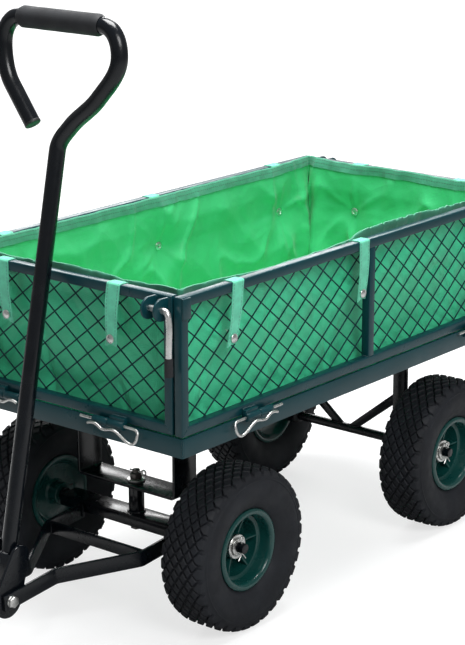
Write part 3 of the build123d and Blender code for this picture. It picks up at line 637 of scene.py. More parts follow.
def bent_strip(path, bend, thick):
    """The outline of a flat bar that follows a path with round bends."""
    path = [Vector(point) for point in path]
    spine = [(path[0], (path[1] - path[0]).normalized())]
    for before, here, after in zip(path, path[1:], path[2:]):
        arrive, leave = (here - before).normalized(), (after - here).normalized()
        turn = arrive.angle_signed(leave)
        reach = bend * math.tan(abs(turn) / 2)
        steps = max(2, int(abs(math.degrees(turn)) / 12))
        start = here - arrive * reach
        side = Vector((arrive.y, -arrive.x)) * math.copysign(bend, turn)
        for step in range(steps + 1):
            spin = Matrix.Rotation(-turn * step / steps, 2)
            spine.append((start + side - spin @ side, spin @ arrive))
    spine.append((path[-1], (path[-1] - path[-2]).normalized()))
    left = [point + Vector((-way.y, way.x)) * thick / 2 for point, way in spine]
    right = [point - Vector((-way.y, way.x)) * thick / 2 for point, way in spine]
    return left + right[::-1]


def teardrop(first, first_radius, second, second_radius):
    """The outline round two circles."""
    first, second = Vector(first), Vector(second)
    along = second - first
    heading = math.degrees(math.atan2(along.y, along.x))
    open_by = math.degrees(math.acos((first_radius - second_radius) / along.length))
    far = arc(first, first_radius, heading + open_by, heading - open_by + 360, 24)
    near = arc(second, second_radius, heading - open_by, heading + open_by, 12)
    return far + near


def cloth_grid(shape, columns, rows, place, lay):
    """A grid of cloth: place turns (0..1, 0..1) into a point and lay into cloth metres."""
    made = bmesh.ops.create_grid(shape, x_segments=columns, y_segments=rows, size=0.5)
    verts = made["verts"]
    where = {vert: (vert.co.x + 0.5, vert.co.y + 0.5) for vert in verts}
    uv = shape.loops.layers.uv.new("lay")
    for face in {face for vert in verts for face in vert.link_faces}:
        for loop in face.loops:
            loop[uv].uv = lay(*where[loop.vert])
    for vert, (across, along) in where.items():
        vert.co = place(across, along)


# --- Bed -----------------------------------------------------------------------------------------


def make_tray():
    """The folded steel tray: an upright rim with an inward flange under the deck."""
    low, _ = in_bed("tray_frame")
    wall, flange = 3.0, 25.0
    half_long, half_wide = BED_LONG / 2, BED_WIDE / 2
    shape = bmesh.new()
    sections = (
        (0, low.z, 5),
        (0, TRAY_TOP, 5),
        (wall, TRAY_TOP, 3),
        (wall, low.z + wall, 3),
        (flange, low.z + wall, 2),
        (flange, low.z, 2),
    )
    banded(shape, [rounded(half_long - inset, half_wide - inset, r, z) for inset, z, r in sections])
    ease(shape, 1.1)
    for right in (1, -1):
        for left in (1, -1):
            corner = (right * (half_long - 1.4), left * (half_wide - 1.4))
            weld_bead(shape, (*corner, low.z + 5), (*corner, TRAY_TOP - 3), 1.6, right + 2 * left)
    return finished("tray", shape, "frame", "bed", ["tray_frame"])


def make_front_support():
    """The bent strap that hangs the kingpin crossbar under the bed."""
    low, high = in_bed("front_support")
    thick, foot = 5.0, 30.0
    half = high.y - foot - thick / 2
    path = [
        (high.y, high.z - thick / 2),
        (half, high.z - thick / 2),
        (half, low.z + thick / 2),
        (-half, low.z + thick / 2),
        (-half, high.z - thick / 2),
        (-high.y, high.z - thick / 2),
    ]
    shape = bmesh.new()
    outline = [(low.x, y, z) for y, z in bent_strip(path, 6.0, thick)]
    plate(shape, outline, (high.x - low.x, 0, 0), 0.9)
    return finished("front_support", shape, "black", "bed", ["front_support"])


def make_support_bolts():
    """The two bolts through the support's feet."""
    low, high = in_bed("support_bolts")
    across, head, radius = 13.0, 5.5, 4.0
    shape = bmesh.new()
    for y in (low.y + across / 2, high.y - across / 2):
        hexagon(shape, (FRONT_X, y, low.z + head / 2), (0, 0, 1), across, head)
        rod(shape, (FRONT_X, y, low.z), (FRONT_X, y, high.z), radius, chamfer=0.6)
    return finished("support_bolts", shape, "zinc", "bed", ["support_bolts"])


def make_kingpin():
    """The kingpin bolt, its washer, nut and cotter pin."""
    across, head, radius = 18.0, 8.0, 6.0
    low, high = in_bed("kingpin_bolt")
    bolt = bmesh.new()
    hexagon(bolt, (FRONT_X, 0, low.z + head / 2), (0, 0, 1), across, head)
    rod(bolt, (FRONT_X, 0, low.z + head / 2), (FRONT_X, 0, high.z), radius, chamfer=1.2)
    finished("kingpin_bolt", bolt, "oiled", "bed", ["kingpin_bolt"])
    low, high = in_bed("kingpin_washer")
    washer = bmesh.new()
    rod(washer, (FRONT_X, 0, low.z), (FRONT_X, 0, high.z), 15.0, sides=40, chamfer=0.7)
    finished("kingpin_washer", washer, "zinc", "bed", ["kingpin_washer"])
    low, high = in_bed("kingpin_nut")
    nut = bmesh.new()
    hexagon(nut, (FRONT_X, 0, (low.z + high.z) / 2), (0, 0, 1), across, high.z - low.z, 1.1)
    ring(nut, (FRONT_X, 0, high.z - 0.4), radius + 0.6, 0.8, "Z")
    finished("kingpin_nut", nut, "oiled", "bed", ["kingpin_nut"])
    low, high = in_bed("kingpin_cotter")
    height = (low.z + high.z) / 2
    cotter = bmesh.new()
    rod(cotter, (FRONT_X, -13, height), (FRONT_X, 12.5, height), 1.5, sides=12, chamfer=0.4)
    ring(cotter, (FRONT_X, 16, height), 4.0, 1.5, "X")
    finished("kingpin_cotter", cotter, "zinc", "bed", ["kingpin_cotter"])


def make_rear_legs():
    """The two flat legs that carry the rear axle, each with a block round the axle."""
    _, high = in_bed("rear_legs")
    wide = 25.0
    shape = bmesh.new()
    for side in (1, -1):
        y = side * (high.y - wide / 2)
        block(shape, (REAR_X, y, (AXLE_Z + high.z) / 2), (12, wide, high.z - AXLE_Z), 1.6)
        block(shape, (REAR_X, y, AXLE_Z), (24, wide, 24), 3.5)
        for face in (6, -6):
            for z, bead, seed in ((high.z - 1, 2.2, side), (AXLE_Z + 12.5, 2.0, y)):
                weld_bead(shape, (REAR_X + face, y - 11, z), (REAR_X + face, y + 11, z), bead, seed)
    return finished("rear_legs", shape, "black", "bed", ["rear_legs"])


def make_rear_braces():
    """The two gusset plates from the rear legs down to the middle of the axle."""
    low, high = in_bed("rear_braces")
    inside = high.y
    shape = bmesh.new()
    for side in (1, -1):
        corners = ((2, AXLE_Z + 3), (24, AXLE_Z + 3), (inside, high.z - 20), (inside, high.z))
        plate(shape, [(low.x, side * y, z) for y, z in corners], (high.x - low.x, 0, 0), 1.6)
        start = Vector((low.x, side * (inside - 1), high.z - 19))
        weld_bead(shape, start, start + Vector((0, 0, 18)), 2.0, side)
        weld_bead(shape, (high.x, side * 6, AXLE_Z + 7), (high.x, side * 26, AXLE_Z + 7), 2.2, side)
    return finished("rear_braces", shape, "black", "bed", ["rear_braces"])


AXLE_RADIUS = 8.0


def axle_ends(shape, axle_x):
    """Both ends of an axle: a collar inside each wheel and a bare end with its chamfer."""
    _, high = in_bed("rear_axle")
    for side in (1, -1):
        rod(shape, (axle_x, side * 150, AXLE_Z), (axle_x, side * high.y, AXLE_Z), AXLE_RADIUS, chamfer=1.4)
        rod(shape, (axle_x, side * 154.5, AXLE_Z), (axle_x, side * 159.5, AXLE_Z), 12.0, chamfer=0.9)


def make_rear_axle():
    """The straight rear axle."""
    shape = bmesh.new()
    rod(shape, (REAR_X, -152, AXLE_Z), (REAR_X, 152, AXLE_Z), AXLE_RADIUS)
    axle_ends(shape, REAR_X)
    return finished("rear_axle", shape, "black", "bed", ["rear_axle"])


def make_washers(name, axle_x, body):
    """The thrust washers outside both hubs of one axle."""
    _, high = in_bed(name)
    thick, radius = 2.5, 14.0
    shape = bmesh.new()
    for side in (1, -1):
        inner = (axle_x, side * (high.y - thick), AXLE_Z)
        rod(shape, inner, (axle_x, side * high.y, AXLE_Z), radius, chamfer=0.6)
    return finished(name, shape, "zinc", body, [name])


def make_cotters(name, axle_x, body):
    """The cotter pins through both ends of one axle, their legs spread under it."""
    _, high = in_bed(name)
    eye, wire = 4.0, 1.5
    y = high.y - eye - wire
    shape = bmesh.new()
    for side in (1, -1):
        ring(shape, (axle_x, side * y, AXLE_Z + 14), eye, wire, "Y")
        for leg in (1, -1):
            knots = (
                ((axle_x + leg * 0.8, side * y, AXLE_Z + 11), (0, 0, -1), 0, 6),
                ((axle_x + leg * 0.9, side * y, AXLE_Z - 8), (0, 0, -1), 6, 3),
                ((axle_x + leg * 8.5, side * y, AXLE_Z - 19), (leg * 0.75, 0, -1), 5, 0),
            )
            bent_bar(shape, knots, 1.15, 3, 6)
    return finished(name, shape, "zinc", body, [name])


def make_tray_knuckles():
    """The tray's half of every hinge."""
    shape = bmesh.new()
    for place, _, hinge, _ in SIDES.values():
        part = bmesh.new()
        for side in (1, -1):
            knuckle(part, side * (hinge - 15.25), -1)
        bmesh.ops.transform(part, matrix=place, verts=part.verts)
        join(shape, part)
    return finished("tray_knuckles", shape, "frame", "bed", ["tray_knuckles"])


def repeat_round(shape, count):
    """Copies of a shape in even steps about the Y axis."""
    bmesh.ops.spin(
        shape,
        geom=shape.verts[:] + shape.edges[:] + shape.faces[:],
        cent=(0, 0, 0),
        axis=(0, 1, 0),
        angle=2 * math.pi * (count - 1) / count,
        steps=count - 1,
        use_duplicate=True,
    )


def join(shape, part):
    """Move one shape into another."""
    mesh = bpy.data.meshes.new("joined")
    part.to_mesh(mesh)
    part.free()
    shape.from_mesh(mesh)
    bpy.data.meshes.remove(mesh)


def knuckle(shape, middle, which):
    """One hinge knuckle on its web, above (1) or below (-1) the hinge, with its weld bead."""
    out, radius, long = 8.0, 6.5, 29.5
    rod(shape, (middle - long / 2, out, TRAY_TOP), (middle + long / 2, out, TRAY_TOP), radius, chamfer=0.8)
    block(shape, (middle, out / 2, TRAY_TOP + which * 6), (long - 0.6, out, 10), 0.8)
    z = TRAY_TOP + which * 11.4
    weld_bead(shape, (middle - long / 2 + 1, 1.2, z), (middle + long / 2 - 1, 1.2, z), 1.9, middle)


def make_clips():
    """The sprung wire clips that pin every side to the tray."""
    shape = bmesh.new()
    for place, _, hinge, _ in SIDES.values():
        for side in (1, -1):
            part = bmesh.new()
            knots = (
                ((-57, 0, 0), (1, 0, 0), 0, 30),
                ((46, 0, 0), (1, 0, 0), 30, 6),
                ((58.5, 3, -6.5), (0, 0.3, -1), 6, 6),
                ((50, 8, -21), (-1, 0.2, 0), 7, 10),
                ((16, 10, -5.5), (-1, 0, 0), 12, 7),
                ((-3, 10, -8.5), (-1, 0, 0), 7, 7),
                ((-21, 9.6, -2), (-1, 0, 0), 7, 5),
                ((-34, 9.6, -4.5), (-1, 0, -0.4), 5, 0),
            )
            bent_bar(part, knots, 2.2, 4, 10)
            flip = Matrix.Diagonal((side, 1, 1, 1))
            lift = Matrix.Translation((side * hinge, 8, TRAY_TOP))
            bmesh.ops.transform(part, matrix=place @ lift @ flip, verts=part.verts)
            if side < 0:
                bmesh.ops.reverse_faces(part, faces=part.faces)
            join(shape, part)
    return finished("hinge_clips", shape, "zinc", "bed", ["panel_clips"])


# --- Steering ------------------------------------------------------------------------------------


BEAM_Z = 129.0
BEAM_SIZE = (40.0, 300.0, 20.0)


def make_beam():
    """The steering beam with its stub axles."""
    shape = bmesh.new()
    block(shape, (FRONT_X, 0, BEAM_Z), BEAM_SIZE, 2.2)
    axle_ends(shape, FRONT_X)
    return finished("steering_beam", shape, "black", "steering", ["steering_beam"])


def make_sleeve():
    """The sleeve that the kingpin turns in, welded to the beam."""
    low, high = in_bed("kingpin_sleeve")
    shape = bmesh.new()
    rod(shape, (FRONT_X, 0, low.z), (FRONT_X, 0, high.z), 12.5, sides=40, chamfer=0.8)
    ring(shape, (FRONT_X, 0, low.z + 1), 13.2, 2.0, "Z", 36)
    return finished("kingpin_sleeve", shape, "black", "steering", ["kingpin_sleeve"])


PULL_LOW, PULL_HIGH = in_bed("pull_bolt")
PIVOT = Vector(((PULL_LOW.x + PULL_HIGH.x) / 2, 0, (PULL_LOW.z + PULL_HIGH.z) / 2))
YOKE_TILT = math.radians(5.0)
YOKE_FOOT = Vector((FRONT_X + BEAM_SIZE[0] / 2, 0, 110))
YOKE = Matrix.Translation(YOKE_FOOT) @ Matrix.Rotation(YOKE_TILT, 4, "Y")
YOKE_LONG = (PIVOT.x - YOKE_FOOT.x) / math.cos(YOKE_TILT) + 12.5


def make_yoke_arm(side_name, side):
    """One cranked flat bar from the beam to the pull bolt."""
    shape = bmesh.new()
    wide, narrow, thick, high = 100, 28, 6.0, 25
    path = [(0, side * wide), (80.8, side * wide), (195.8, side * narrow), (YOKE_LONG, side * narrow)]
    plate(shape, [(x, y, 0) for x, y in bent_strip(path, 12.0, thick)], (0, 0, high), 0.9)
    nose = [
        edge
        for edge in shape.edges
        if min(vert.co.x for vert in edge.verts) > YOKE_LONG - 1.5
        and abs(edge.verts[0].co.y - edge.verts[1].co.y) > 2
    ]
    soften(shape, nose, 11.0, 6)
    weld_bead(shape, (1, side * 96.5, 2), (1, side * 96.5, 23), 2.4, side)
    weld_bead(shape, (1, side * 103.5, 2), (1, side * 103.5, 23), 2.4, -side)
    return finished(f"yoke_arm_{side_name}", shape, "black", "steering", [f"yoke_arm_{side_name}"], YOKE)


def make_yoke_brace():
    """The flat cross brace between the yoke arms."""
    shape = bmesh.new()
    middle, wide = 73, 194
    block(shape, (middle, 0, 12.5), (6, wide, 20), 1.0)
    for side in (1, -1):
        for face in (3.4, -3.4):
            x, y = middle + face, side * (wide / 2 - 1.5)
            weld_bead(shape, (x, y, 4), (x, y, 21), 1.9, face + side)
    return finished("yoke_brace", shape, "black", "steering", ["yoke_brace"], YOKE)


def make_pull_bolt():
    """The bolt that the pull handle turns on, and its nut."""
    bolt = bmesh.new()
    hexagon(bolt, (PIVOT.x, PULL_HIGH.y - 3.25, PIVOT.z), (0, 1, 0), 16.0, 6.5, 1.0)
    ring(bolt, (PIVOT.x, PULL_HIGH.y - 6.4, PIVOT.z), 8.2, 0.9, "Y", 32)
    rod(bolt, (PIVOT.x, PULL_LOW.y, PIVOT.z), (PIVOT.x, PULL_HIGH.y - 3, PIVOT.z), 5.0, chamfer=0.8)
    finished("pull_bolt", bolt, "zinc", "steering", ["pull_bolt"])
    low, high = in_bed("pull_nut")
    nut = bmesh.new()
    hexagon(nut, (PIVOT.x, (low.y + high.y) / 2, PIVOT.z), (0, 1, 0), 16.0, high.y - low.y, 1.0)
    ring(nut, (PIVOT.x, low.y + 0.3, PIVOT.z), 5.8, 0.8, "Y")
    finished("pull_nut", nut, "zinc", "steering", ["pull_nut"])


# --- Pull handle ---------------------------------------------------------------------------------

LEAN = math.radians(11.9)
FOOT = Vector((590.4, 0, 114))
UP_TUBE = Vector((-math.sin(LEAN), 0, math.cos(LEAN)))
LOOP = 443.0
GRIP_Z = 933.0
GRIP_HALF = 80.0
TUBE_RADIUS = 12.5
OPEN_END = Vector((450.4, -56, 779.4))


def make_handle_tube():
    """The bent handle tube with its hand loop."""
    bend = FOOT + UP_TUBE * ((745 - FOOT.z) / UP_TUBE.z)
    knots = (
        (FOOT, UP_TUBE, 0, 210),
        (bend, UP_TUBE, 210, 17),
        ((452, 22, 782), (-8, 72, 82), 14, 23),
        ((449, 75, 828), (-6, 92, 108), 23, 24),
        ((446, 114, 890), (-4, 2, 100), 24, 23),
        ((LOOP, GRIP_HALF, GRIP_Z), (0, -1, 0), 22, 50),
        ((LOOP, -GRIP_HALF, GRIP_Z), (0, -1, 0), 50, 22),
        ((446, -114, 890), (3, 1, -100), 23, 20),
        ((449, -96, 832), (2, 55, -72), 20, 22),
        (OPEN_END, (1.4, 40, -52), 22, 0),
    )
    shape = bmesh.new()
    bent_bar(shape, knots, TUBE_RADIUS, 10, 16)
    return finished("handle_tube", shape, "black", "handle", ["handle_tube"])


def make_handle_cap():
    """The plastic plug in the open end of the hand loop."""
    way = Vector((1.4, 40, -52.6)).normalized()
    shape = bmesh.new()
    rod(shape, OPEN_END - way * 2, OPEN_END + way * 3.2, TUBE_RADIUS + 0.2, sides=40, chamfer=1.6)
    return finished("handle_cap", shape, "cap", "handle", ["handle_end_cap"])


def make_grip():
    """The foam grip, a little swollen in the middle and rounded at its ends."""
    shape = bmesh.new()
    half, radius = GRIP_HALF, 16.25
    steps = 24
    outer = []
    for step in range(steps + 1):
        along = -half + 2 * half * step / steps
        reach = min(1.0, (half - abs(along)) / 5.0)
        wear = 0.25 * noise.noise(Vector((along * 0.05, 3, 0)))
        outer.append((radius - 3.0 * (1 - reach) ** 2 + wear, along))
    lathe(shape, outer + [(TUBE_RADIUS, half - 1), (TUBE_RADIUS, 1 - half)], 40)
    place = Matrix.Translation((LOOP, 0, GRIP_Z))
    return finished("handle_grip", shape, "foam", "handle", ["handle_grip"], place)


def make_bracket():
    """The two cheeks and cross plates that join the tube to the pull bolt."""
    cheek, outside = 5.0, 24.7
    upper = Vector((FOOT.x - 9, FOOT.z + 42))
    outline = teardrop((PIVOT.x, PIVOT.z), 28.0, upper, 19.0)
    shape = bmesh.new()
    for side in (1, -1):
        plate(shape, [(x, side * outside, z) for x, z in outline], (0, -side * cheek, 0), 0.9)
    lean = Matrix.Translation(FOOT) @ Matrix.Rotation(-LEAN, 4, "Y")
    for side in (1, -1):
        spot = lean @ Vector((side * 15, 0, 26))
        block(shape, spot, (cheek, 2 * outside - 4, 40), 0.8, Matrix.Rotation(-LEAN, 4, "Y"))
        for end in (6, 46):
            edge = lean @ Vector((side * 13, 0, end))
            weld_bead(shape, edge + Vector((0, -11, 0)), edge + Vector((0, 11, 0)), 1.9, end)
    return finished("handle_bracket", shape, "black", "handle", ["handle_bracket"])


# --- Wheels --------------------------------------------------------------------------------------


def crown(across):
    """Radius of the tyre's casing under the tread blocks."""
    return TYRE_R - sizes().lug_high + 0.4 - 0.0003 * max(0.0, abs(across) - 12) ** 3


def tread_block(shape, outline, turn, high):
    """One tapered tread block: its outline runs round the tyre and across it."""
    part = bmesh.new()
    plate(part, [(around, across, 0) for around, across in outline], (0, 0, 1), 0)
    middle = Vector((sum(p[0] for p in outline), sum(p[1] for p in outline))) / len(outline)
    for vert in part.verts:
        top = vert.co.z > 0.5
        shrink = 0.87 if top else 1.06
        around = middle.x + (vert.co.x - middle.x) * shrink
        across = middle.y + (vert.co.y - middle.y) * shrink
        vert.co = (around, across, high if top else -1.5)
    crest = [edge for edge in part.edges if min(vert.co.z for vert in edge.verts) > high / 2]
    soften(part, crest, 0.8, 1)
    for vert in part.verts:
        angle = turn + vert.co.x / TYRE_R
        radius = crown(vert.co.y) + vert.co.z
        vert.co = (radius * math.sin(angle), vert.co.y, radius * math.cos(angle))
    join(shape, part)


def tyre_shape():
    """A pneumatic tyre about the origin, its axle along Y."""
    pitch = 2 * math.pi / sizes().lugs
    shape = bmesh.new()
    side = [
        (119.6, 38.4), (116.5, 39.8), (114.4, 40.4), (113.6, 41.3), (112.4, 41.5),
        (111.6, 41.0), (106, 42.3), (98, 42.5), (89, 41.2), (80, 38.2), (72, 34.4), (67, 30.4),
        (64.6, 27.6), (61.6, 26.2), (57.2, 26.2), (57.2, 17), (66, 19), (90, 31), (110, 28),
    ]
    tread = [(crown(across), across) for across in range(-36, 37, 6)]
    mirrored = [(radius, -along) for radius, along in side]
    lathe(shape, tread + side + mirrored[::-1], 96)
    lugs = bmesh.new()
    half_around = TYRE_R * pitch / 2
    reach = 8.5
    for column in range(-3, 4):
        middle = column * reach
        turn = pitch / 2 * (column % 2)
        wide, long = reach * 0.84, half_around * 0.84
        outline = [(-long, middle), (0, middle - wide), (long, middle), (0, middle + wide)]
        tread_block(lugs, outline, turn, sizes().lug_high - 0.4)
    for outer in (1, -1):
        outline = [(-8.6, 39.2), (-9.4, 33), (-2.5, 26.6), (2.5, 26.6), (9.4, 33), (8.6, 39.2)]
        tread_block(lugs, [(a, outer * b) for a, b in outline[::outer]], 0, sizes().lug_high)
    for outer in (1, -1):
        spot = Matrix.Translation((0, outer * 42.1, 103))
        bmesh.ops.create_icosphere(lugs, subdivisions=1, radius=0.8, matrix=spot)
    repeat_round(lugs, sizes().lugs)
    join(shape, lugs)
    return shape


def rim_shape():
    """A steel rim about the origin: rounded lip, stepped barrel, web, ribs and hub."""
    shape = bmesh.new()
    profile = [
        (64.0, 27.6), (65.0, 29.4), (64.6, 31.2), (62.8, 32.6), (60.2, 33.2), (57.4, 32.8),
        (55.2, 31.2), (54.0, 28.6), (53.2, 24.0), (53.0, 13.0), (52.2, 11.0), (50.4, 10.2),
        (48.0, 9.8), (46.8, 8.8), (46.2, 6.0), (45.4, -8.0), (43.0, -12.4), (39.0, -13.6),
        (25.0, -13.6), (21.0, -12.0), (19.2, -8.0), (19.0, 7.0), (18.4, 8.0), (8.2, 8.0),
        (8.2, -36.4), (18.2, -37.0), (19.0, -36.0), (19.0, -19.0), (22.0, -16.4),
        (44.0, -16.4), (48.6, -19.0), (52.6, -24.0), (55.2, -29.6), (58.2, -31.2),
        (61.6, -31.4), (63.8, -30.2), (64.4, -28.4), (63.4, -27.2), (56.4, -26.6),
        (55.2, -20.0), (55.2, 20.0), (56.4, 26.6),
    ]
    lathe(shape, profile, 72)
    ribs = bmesh.new()
    fin = [(18, -15), (48, -15), (48, 8.6), (44, 7.4), (32, 4.6), (18, 4.0)]
    plate(ribs, [(radius, along, -1.7) for radius, along in fin], (0, 0, 3.4), 0.9)
    repeat_round(ribs, 6)
    join(shape, ribs)
    return shape


def bearing_shape():
    """The bright bearing in the hub's outer face."""
    shape = bmesh.new()
    profile = [
        (8.5, 3.0), (8.5, 8.8), (10.0, 9.0), (10.6, 8.3), (14.6, 8.3), (15.4, 9.1),
        (18.8, 9.1), (19.6, 8.4), (19.8, 6.4), (19.2, 5.6), (19.2, 3.0),
    ]
    lathe(shape, profile, 48)
    return shape


def make_wheels():
    """Four wheels, each a tyre, a rim and its bearing."""
    tyre, rim, bearing = tyre_shape(), rim_shape(), bearing_shape()
    for corner in CORNERS:
        end, side = corner.split("_")
        hub = Vector((FRONT_X if end == "front" else REAR_X, WHEEL_Y, AXLE_Z))
        place = Matrix.Translation(hub)
        if side == "right":
            hub.y = -WHEEL_Y
            place = Matrix.Translation(hub) @ Matrix.Rotation(math.pi, 4, "Z")
        spun = place @ Matrix.Rotation(math.radians(5.0), 4, "Y")
        body = f"wheel_{corner}"
        finished(f"tyre_{corner}", tyre.copy(), "tyre", body, [f"tyre_{corner}"], spun)
        finished(f"rim_{corner}", rim.copy(), "rim", body, [f"rim_{corner}"], spun)
        finished(f"bearing_{corner}", bearing.copy(), "zinc", body, (), place)
    for shape in (tyre, rim, bearing):
        shape.free()


# --- Panels --------------------------------------------------------------------------------------


def make_panel_frame(name):
    """One side's welded frame of square tube, with its knuckles and its latch ears or keepers."""
    place, span, hinge, _ = SIDES[name]
    is_side = name in ("left", "right")
    high = RAIL_TOP - RAIL_UNDER
    middle = (RAIL_TOP + RAIL_UNDER) / 2
    shape = bmesh.new()
    stand = Matrix.Translation((0, 0, middle)) @ Matrix.Rotation(QUARTER, 4, "X")
    sections = ((0, 0, 1.5), (0, TUBE, 1.5), (TUBE, TUBE, 0.6), (TUBE, 0, 0.6))
    loops = [
        [stand @ Vector(point) for point in rounded(span / 2 - inset, high / 2 - inset, radius, depth, 2)]
        for inset, depth, radius in sections
    ]
    banded(shape, loops)
    bmesh.ops.recalc_face_normals(shape, faces=shape.faces)
    ease(shape, 1.9, 50, 3)
    if is_side:
        block(shape, (0, -TUBE / 2, middle), (TUBE, TUBE, high - 2 * TUBE + 1), 1.9)
    for side in (1, -1):
        knuckle(shape, side * (hinge + 15.25), 1)
        for z, inward in ((RAIL_TOP, -1), (RAIL_UNDER, 1)):
            outer = Vector((side * (span / 2 - 1.5), -0.3, z + inward * 1.5))
            inner = Vector((side * (span / 2 - TUBE), -0.3, z + inward * TUBE))
            weld_bead(shape, outer, inner, 0.95, z + side)
            weld_bead(shape, inner + Vector((0, -2, 0)), inner + Vector((0, 1.7 - TUBE, 0)), 1.5, z - side)
        if is_side:
            for z, inward in ((RAIL_TOP, -1), (RAIL_UNDER, 1)):
                spot = Vector((side * TUBE / 2, -2, z + inward * TUBE))
                weld_bead(shape, spot, spot + Vector((0, 4 - TUBE, 0)), 1.5, z)
            x = side * (span / 2 - 9)
            block(shape, (x, 1.5, RAIL_TOP - 16.5), (18, 3, 31), 1.2)
            weld_bead(shape, (x - 8, 0.8, RAIL_TOP - 32.4), (x + 8, 0.8, RAIL_TOP - 32.4), 1.3, x)
        else:
            for ear in (194, 217):
                make_ear(shape, side * ear)
    return finished(f"frame_{name}", shape, "frame", f"panel_{name}", [f"panel_frame_{name}"], place)


LATCH_OUT = 16.0
LATCH_Z = RAIL_TOP - 18.0


def make_ear(shape, middle):
    """One round ear that the latch rod turns in."""
    radius, thick = 16.5, 4.0
    outline = arc((LATCH_OUT, LATCH_Z), radius, -90, 90, 18)
    outline += [(-0.5, LATCH_Z + radius), (-0.5, LATCH_Z - radius)]
    plate(shape, [(middle - thick / 2, y, z) for y, z in outline], (thick, 0, 0), 0.9)
    for face in (thick / 2, -thick / 2):
        start = Vector((middle + face, 0.6, LATCH_Z - radius + 2))
        weld_bead(shape, start, start + Vector((0, 0, 2 * radius - 4)), 1.5, middle)


def mesh_wires(shape, span, high, middle, depth):
    """Crossed diagonal wires clipped to a rectangle."""
    wide, tall = sizes().diamond_wide, sizes().diamond_high
    thick = sizes().wire / 2
    most = int(span / wide + high / tall) + 2
    for lean in (1, -1):
        for step in range(-most, most):
            crossing = (step + 0.5) * wide
            ends = [(crossing - lean * level * wide / tall, level) for level in (-high / 2, high / 2)]
            (x0, z0), (x1, z1) = ends
            start = max(0.0, min(1.0, (math.copysign(span / 2, x0 - x1) - x0) / (x1 - x0)))
            stop = max(0.0, min(1.0, (math.copysign(span / 2, x1 - x0) - x0) / (x1 - x0)))
            if stop - start < 0.02:
                continue
            points = [
                Vector((x0 + (x1 - x0) * t, depth + lean * 0.45, middle + z0 + (z1 - z0) * t))
                for t in (start, stop)
            ]
            rod(shape, points[0], points[1], thick, sides=8)


def make_panel_mesh(name):
    """The diamond mesh on the inside of one side's frame."""
    place, span, _, _ = SIDES[name]
    shape = bmesh.new()
    high = RAIL_TOP - RAIL_UNDER - 12
    mesh_wires(shape, span - 7, high, (RAIL_TOP + RAIL_UNDER) / 2, -TUBE - 1.5)
    return finished(f"mesh_{name}", shape, "mesh", f"panel_{name}", [f"panel_mesh_{name}"], place)


STRAP_DROP = 96.0
STRAP_LEAN = {"left": (16, 7, 3), "right": (-5, 4, 8), "front": (6, -10), "rear": (-7, 6)}


def strap_path(wander):
    """The middle line of a strap from the tub over the rail and down outside: points and lengths."""
    over = RAIL_TOP + 1.3
    inner = [(-TUBE - 3.6, RAIL_TOP - 24), (-TUBE - 3.4, RAIL_TOP - 5)]
    top = [(y - TUBE, z) for y, z in arc((-0.4, over - 3.4), 3.4, 160, 95, 4)]
    outer = arc((-2.0, over - 3.2), 3.2, 85, 10, 4)
    shares = [step / 12 for step in range(13)]
    drop = [(1.3 + wander * math.sin(t * math.pi) - 0.1, over - 5 - t * (STRAP_DROP - 5)) for t in shares]
    points = [Vector(point) for point in inner + top + outer + drop]
    lengths = [0.0]
    for first, second in zip(points, points[1:]):
        lengths.append(lengths[-1] + (second - first).length)
    return points, lengths


def along_path(points, lengths, share):
    """The point at a share of a path's length."""
    want = share * lengths[-1]
    for first, second, start, stop in zip(points, points[1:], lengths, lengths[1:]):
        if want <= stop + 1e-6:
            return first.lerp(second, (want - start) / max(stop - start, 1e-6))
    return points[-1]


def make_strap(name, number, middle, lean):
    """One webbing tab over the rail, tapering to its tip."""
    place = SIDES[name][0]
    half = sizes().webbing / 2
    points, lengths = strap_path(2.2 + 0.8 * math.sin(middle))
    shape = bmesh.new()

    def lay_strap(across, share):
        """The point of the strap at a share of its width and of its length."""
        spot = along_path(points, lengths, share)
        below = max(0.0, RAIL_TOP - spot.y) if spot.x > -1 else 0.0
        from_tip = (1 - share) * lengths[-1]
        narrow = 1.0 - 0.16 * min(1.0, max(0.0, (70 - from_tip) / 60))
        side = (across - 0.5) * 2
        drift = lean * below / STRAP_DROP
        curl = 0.7 * side * side * min(1.0, below / 30) * math.sin(middle + below * 0.06)
        ripple = 0.35 * noise.noise(Vector((middle, side * 1.5, share * 9)))
        drop = (2.6 * (1 - abs(side)) - 1.3 * side * math.copysign(1, lean)) * max(0.0, 1 - from_tip / 9)
        return (middle + side * half * narrow + drift, spot.x + curl + ripple, spot.y + drop)

    cloth_grid(
        shape,
        8,
        64,
        lay_strap,
        lambda across, along: ((across - 0.5) * 2 * half / 1000, along * lengths[-1] / 1000),
    )
    bmesh.ops.recalc_face_normals(shape, faces=shape.faces)
    bmesh.ops.solidify(shape, geom=shape.faces[:], thickness=1.3)
    piece = finished(f"strap_{name}_{number}", shape, "webbing", f"panel_{name}", (), place, 50.0)
    return piece


def snap(shape, spot, radius):
    """A press snap's domed cap, facing along Y."""
    part = bmesh.new()
    profile = [
        (0, 3.4), (2.2, 3.2), (4.2, 2.6), (5.4, 1.7), (6.0, 1.5), (6.6, 1.9), (7.0, 1.5),
        (7.0, 0.2), (6.6, -0.4), (0, -0.4),
    ]
    lathe(part, [(r * radius / 7, y) for r, y in profile], 28)
    bmesh.ops.transform(part, matrix=Matrix.Translation(spot), verts=part.verts)
    join(shape, part)


def make_straps(name):
    """The straps of one side with their snaps."""
    place, _, _, middles = SIDES[name]
    snaps = bmesh.new()
    for number, (middle, lean) in enumerate(zip(middles, STRAP_LEAN[name]), 1):
        make_strap(name, number, middle, lean)
        snap(snaps, (middle + lean * 0.86, 2.6, RAIL_TOP - STRAP_DROP + 13), 7.0)
    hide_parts(f"rail_straps_{name}")
    return finished(f"snaps_{name}", snaps, "zinc", f"panel_{name}", (), place)


